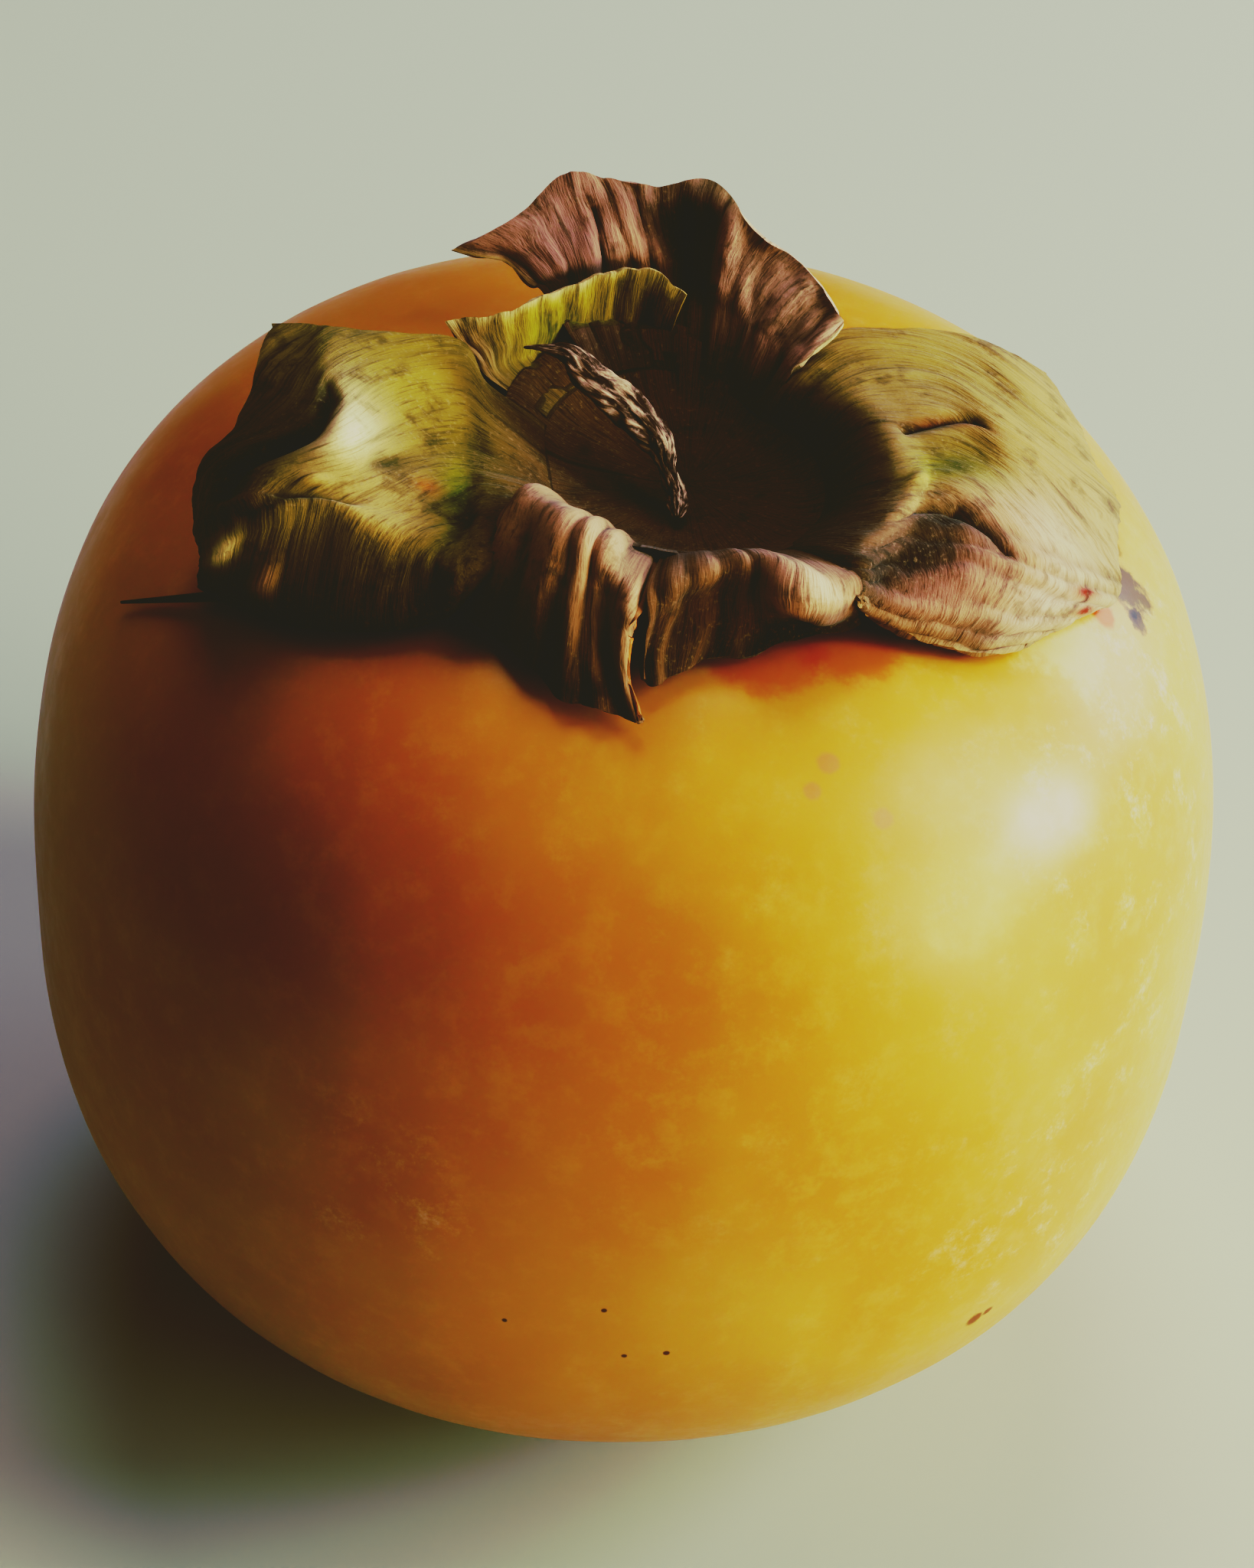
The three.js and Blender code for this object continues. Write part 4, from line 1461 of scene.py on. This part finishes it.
@dataclass
class Stalk:
    """Dried remnant of the stalk, bent over the bowl."""

    finish: DryStalkFinish
    line: tuple[Triple, ...] = (
        (264, 6, 2.2), (262, 4.8, 2.5), (257, 3.7, 2.9), (236, 2.8, 3.8), (202, 2.7, 5),
        (175, 5.2, 6.2), (170, 8, 7), (163, 9.9, 7.4), (164, 11.4, 7.2), (165, 12.4, 6.8),
    )
    half_widths: tuple[float, ...] = (0.3, 0.6, 0.6, 0.55, 1, 1.4, 1.25, 0.8, 0.3, 0.12)
    flatness: float = 0.6
    bark_radius: float = 2.2
    bark_length: float = 15.0
    shrivel: float = 0.3
    ridges: int = 3
    ridge_height: float = 0.12
    ridge_twist: float = 5.0
    end_squareness: int = 40
    steps: int = 150
    sides: int = 48

    def build(self) -> bpy.types.Object:
        """Model the stalk from a cylinder drawn along its line.

        Returns:
            The stalk.
        """
        bm = bmesh.new()
        bmesh.ops.create_grid(bm, x_segments=self.sides, y_segments=self.steps, size=0.5)
        flat = np.array([vertex.co[:2] for vertex in bm.verts]) + 0.5
        around = 2 * math.pi * flat[:, 0]
        share = flat[:, 1]
        polar = np.array(self.line)
        x, y = FORM.plan(polar[:, 0], polar[:, 1])
        knots = FORM.above(x, y, polar[:, 2])
        centre = along_curve(knots, share)
        step = 0.002
        ahead = along_curve(knots, np.clip(share + step, 0, 1))
        ahead -= along_curve(knots, np.clip(share - step, 0, 1))
        ahead /= np.linalg.norm(ahead, axis=1, keepdims=True)
        side = np.cross(ahead, np.array([0.0, 0.0, 1.0]))
        side /= np.linalg.norm(side, axis=1, keepdims=True)
        lift = np.cross(side, ahead)
        width = along_curve(np.array(self.half_widths)[:, None], share)[:, 0]
        bark = (self.bark_radius * np.cos(around), self.bark_radius * np.sin(around))
        ring = np.stack([*bark, share * self.bark_length], axis=1)
        bark_relief = 1 + self.shrivel * ripple(ring, 1.1, 4, 3.0)
        bark_relief += self.ridge_height * np.cos(self.ridges * around + self.ridge_twist * share)
        ends = np.sqrt(np.clip(1 - np.abs(2 * share - 1) ** self.end_squareness, 0, 1))
        size = width * bark_relief * ends
        points = centre + side * (size * np.cos(around))[:, None]
        points += lift * (size * self.flatness * np.sin(around))[:, None]
        place_vertices(bm, points)
        blade = bm.verts.layers.float_vector.new("blade")
        for number, vertex in enumerate(bm.verts):
            angle = around[number]
            place = (math.cos(angle) * 2, math.sin(angle) * 2 + share[number] * 14, 9.0)
            vertex[blade] = place
        bmesh.ops.remove_doubles(bm, verts=bm.verts[:], dist=1e-7)
        bmesh.ops.recalc_face_normals(bm, faces=bm.faces[:])
        return object_of("dried_stalk", bm, self.finish.material())


@dataclass(frozen=True)
class Tone:
    """How light becomes picture: a soft dark end and an early bright end in each channel."""

    lights: tuple[float, ...] = (0.0, 0.02, 0.04, 0.08, 0.12, 0.16, 0.22, 0.3, 0.64, 1.0)
    red: tuple[float, ...] = (0.0137, 0.0140, 0.0165, 0.045, 0.18, 0.36, 0.50, 0.593, 0.68, 0.715)
    green: tuple[float, ...] = (0.0130, 0.0132, 0.0145, 0.085, 0.25, 0.428, 0.54, 0.6187, 0.655, 0.665)
    blue: tuple[float, ...] = (0.0097, 0.0080, 0.0100, 0.11, 0.24, 0.356, 0.46, 0.53, 0.54, 0.55)

    def apply(self) -> None:
        """Set the scene's view to this tone."""
        view = bpy.context.scene.view_settings
        view.view_transform = "Standard"
        view.look = "None"
        view.use_curve_mapping = True
        mapping = view.curve_mapping
        mapping.extend = "HORIZONTAL"
        mapping.use_clip = True
        for curve, levels in zip(mapping.curves, (self.red, self.green, self.blue)):
            curve.points[0].location = (self.lights[0], levels[0])
            curve.points[-1].location = (self.lights[-1], levels[-1])
            for light, level in zip(self.lights[1:-1], levels[1:-1]):
                curve.points.new(light, level)
            for point in curve.points:
                point.handle_type = "AUTO_CLAMPED"
        mapping.update()


@dataclass(frozen=True)
class Lamp:
    """A soft lamp: where it stands, as azimuth, elevation and distance, and how strong it is."""

    name: str
    azimuth: float
    elevation: float
    distance: float
    size: float
    power: float
    colour: Triple

    def build(self, target: Vector) -> bpy.types.Object:
        """Place the lamp and aim it.

        Args:
            target: What it shines on, in metres.

        Returns:
            The lamp.
        """
        light = bpy.data.lights.new(self.name, "AREA")
        light.shape = "DISK"
        light.size = self.size
        light.energy = self.power
        light.color = self.colour
        lamp = bpy.data.objects.new(self.name, light)
        azimuth = math.radians(self.azimuth)
        elevation = math.radians(self.elevation)
        away = Vector((
            math.cos(azimuth) * math.cos(elevation),
            math.sin(azimuth) * math.cos(elevation),
            math.sin(elevation),
        ))
        lamp.location = target + away * self.distance
        lamp.rotation_euler = away.to_track_quat("Z", "Y").to_euler()
        bpy.context.scene.collection.objects.link(lamp)
        return lamp


@dataclass
class Studio:
    """Pale floor, soft light from the right, and a camera that looks down at the fruit."""

    floor_finish: FloorFinish
    tone: Tone
    centre: Triple = (0.0, 0.0, 34.0)
    camera_place: Triple = (0.0, -172.64, 200.72)
    camera_target: Triple = (0.25, 0.0, 43.64)
    camera_roll: float = 0.0531
    focal_length: float = 78.26
    sensor_size: float = 36.0
    floor_size: float = 3.0
    lamps: tuple[Lamp, ...] = (
        Lamp("key", -4, 17, 0.65, 0.16, 0.62, (1.0, 1.1, 1.15)),
        Lamp("soft_side", -30, 14, 0.8, 0.42, 1.45, (1.0, 0.84, 0.55)),
        Lamp("soft_back_right", 30, 14, 0.8, 0.42, 0.50, (0.95, 1.0, 1.6)),
        Lamp("soft_high", -10, 42, 0.8, 0.42, 0.72, (1.0, 1.0, 1.0)),
        Lamp("back_sky", 90, 62, 0.8, 0.42, 0.85, (1.0, 0.86, 0.82)),
    )
    sky: Colour = (1.0, 0.72, 0.78, 1.0)
    sky_strength: float = 0.078

    def floor(self) -> bpy.types.Object:
        """Lay the floor.

        Returns:
            The floor.
        """
        bm = bmesh.new()
        bmesh.ops.create_grid(bm, x_segments=2, y_segments=2, size=self.floor_size / 2)
        floor = object_of("floor", bm, self.floor_finish.material())
        return floor

    def camera(self) -> bpy.types.Object:
        """Stand the camera at the photograph's view.

        Returns:
            The camera.
        """
        lens = bpy.data.cameras.new("camera")
        lens.lens = self.focal_length
        lens.sensor_width = self.sensor_size
        lens.sensor_fit = "AUTO"
        lens.clip_start = 0.01
        camera = bpy.data.objects.new("camera", lens)
        place = Vector(self.camera_place) * MM
        back = (place - Vector(self.camera_target) * MM).normalized()
        right = Vector((0, 0, 1)).cross(back).normalized()
        up = back.cross(right)
        turn = Matrix.Rotation(self.camera_roll, 3, back)
        axes = Matrix((turn @ right, turn @ up, back)).transposed()
        camera.matrix_world = Matrix.Translation(place) @ axes.to_4x4()
        bpy.context.scene.collection.objects.link(camera)
        bpy.context.scene.camera = camera
        return camera

    def sky_light(self) -> None:
        """Fill the shadows with a little even light."""
        world = bpy.data.worlds.new("studio_sky")
        world.use_nodes = True
        background = world.node_tree.nodes["Background"]
        background.inputs["Color"].default_value = self.sky
        background.inputs["Strength"].default_value = self.sky_strength
        bpy.context.scene.world = world

    def build(self) -> None:
        """Set the whole studio."""
        self.camera()
        self.floor()
        self.sky_light()
        target = Vector(self.centre) * MM
        for lamp in self.lamps:
            lamp.build(target)
        self.tone.apply()


def main() -> None:
    """Build the studio and the persimmon, piece by piece."""
    logging.basicConfig(level=logging.INFO, format="%(name)s: %(message)s")
    Studio(FloorFinish(), Tone()).build()
    LOG.info("studio: floor, lights and camera")
    pieces = (
        (Fruit(SkinFinish()).build(), "fruit", "skin"),
        (Calyx(DryCalyxFinish()).build(), "calyx", "dry_calyx"),
        (Stalk(DryStalkFinish()).build(), "stalk", "dry_stalk"),
    )
    for piece, node, slot in pieces:
        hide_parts(node)
        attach(piece, BODY)
        LOG.info("%s: %d faces", piece.name, len(piece.data.polygons))


if __name__ == "__main__":
    main()
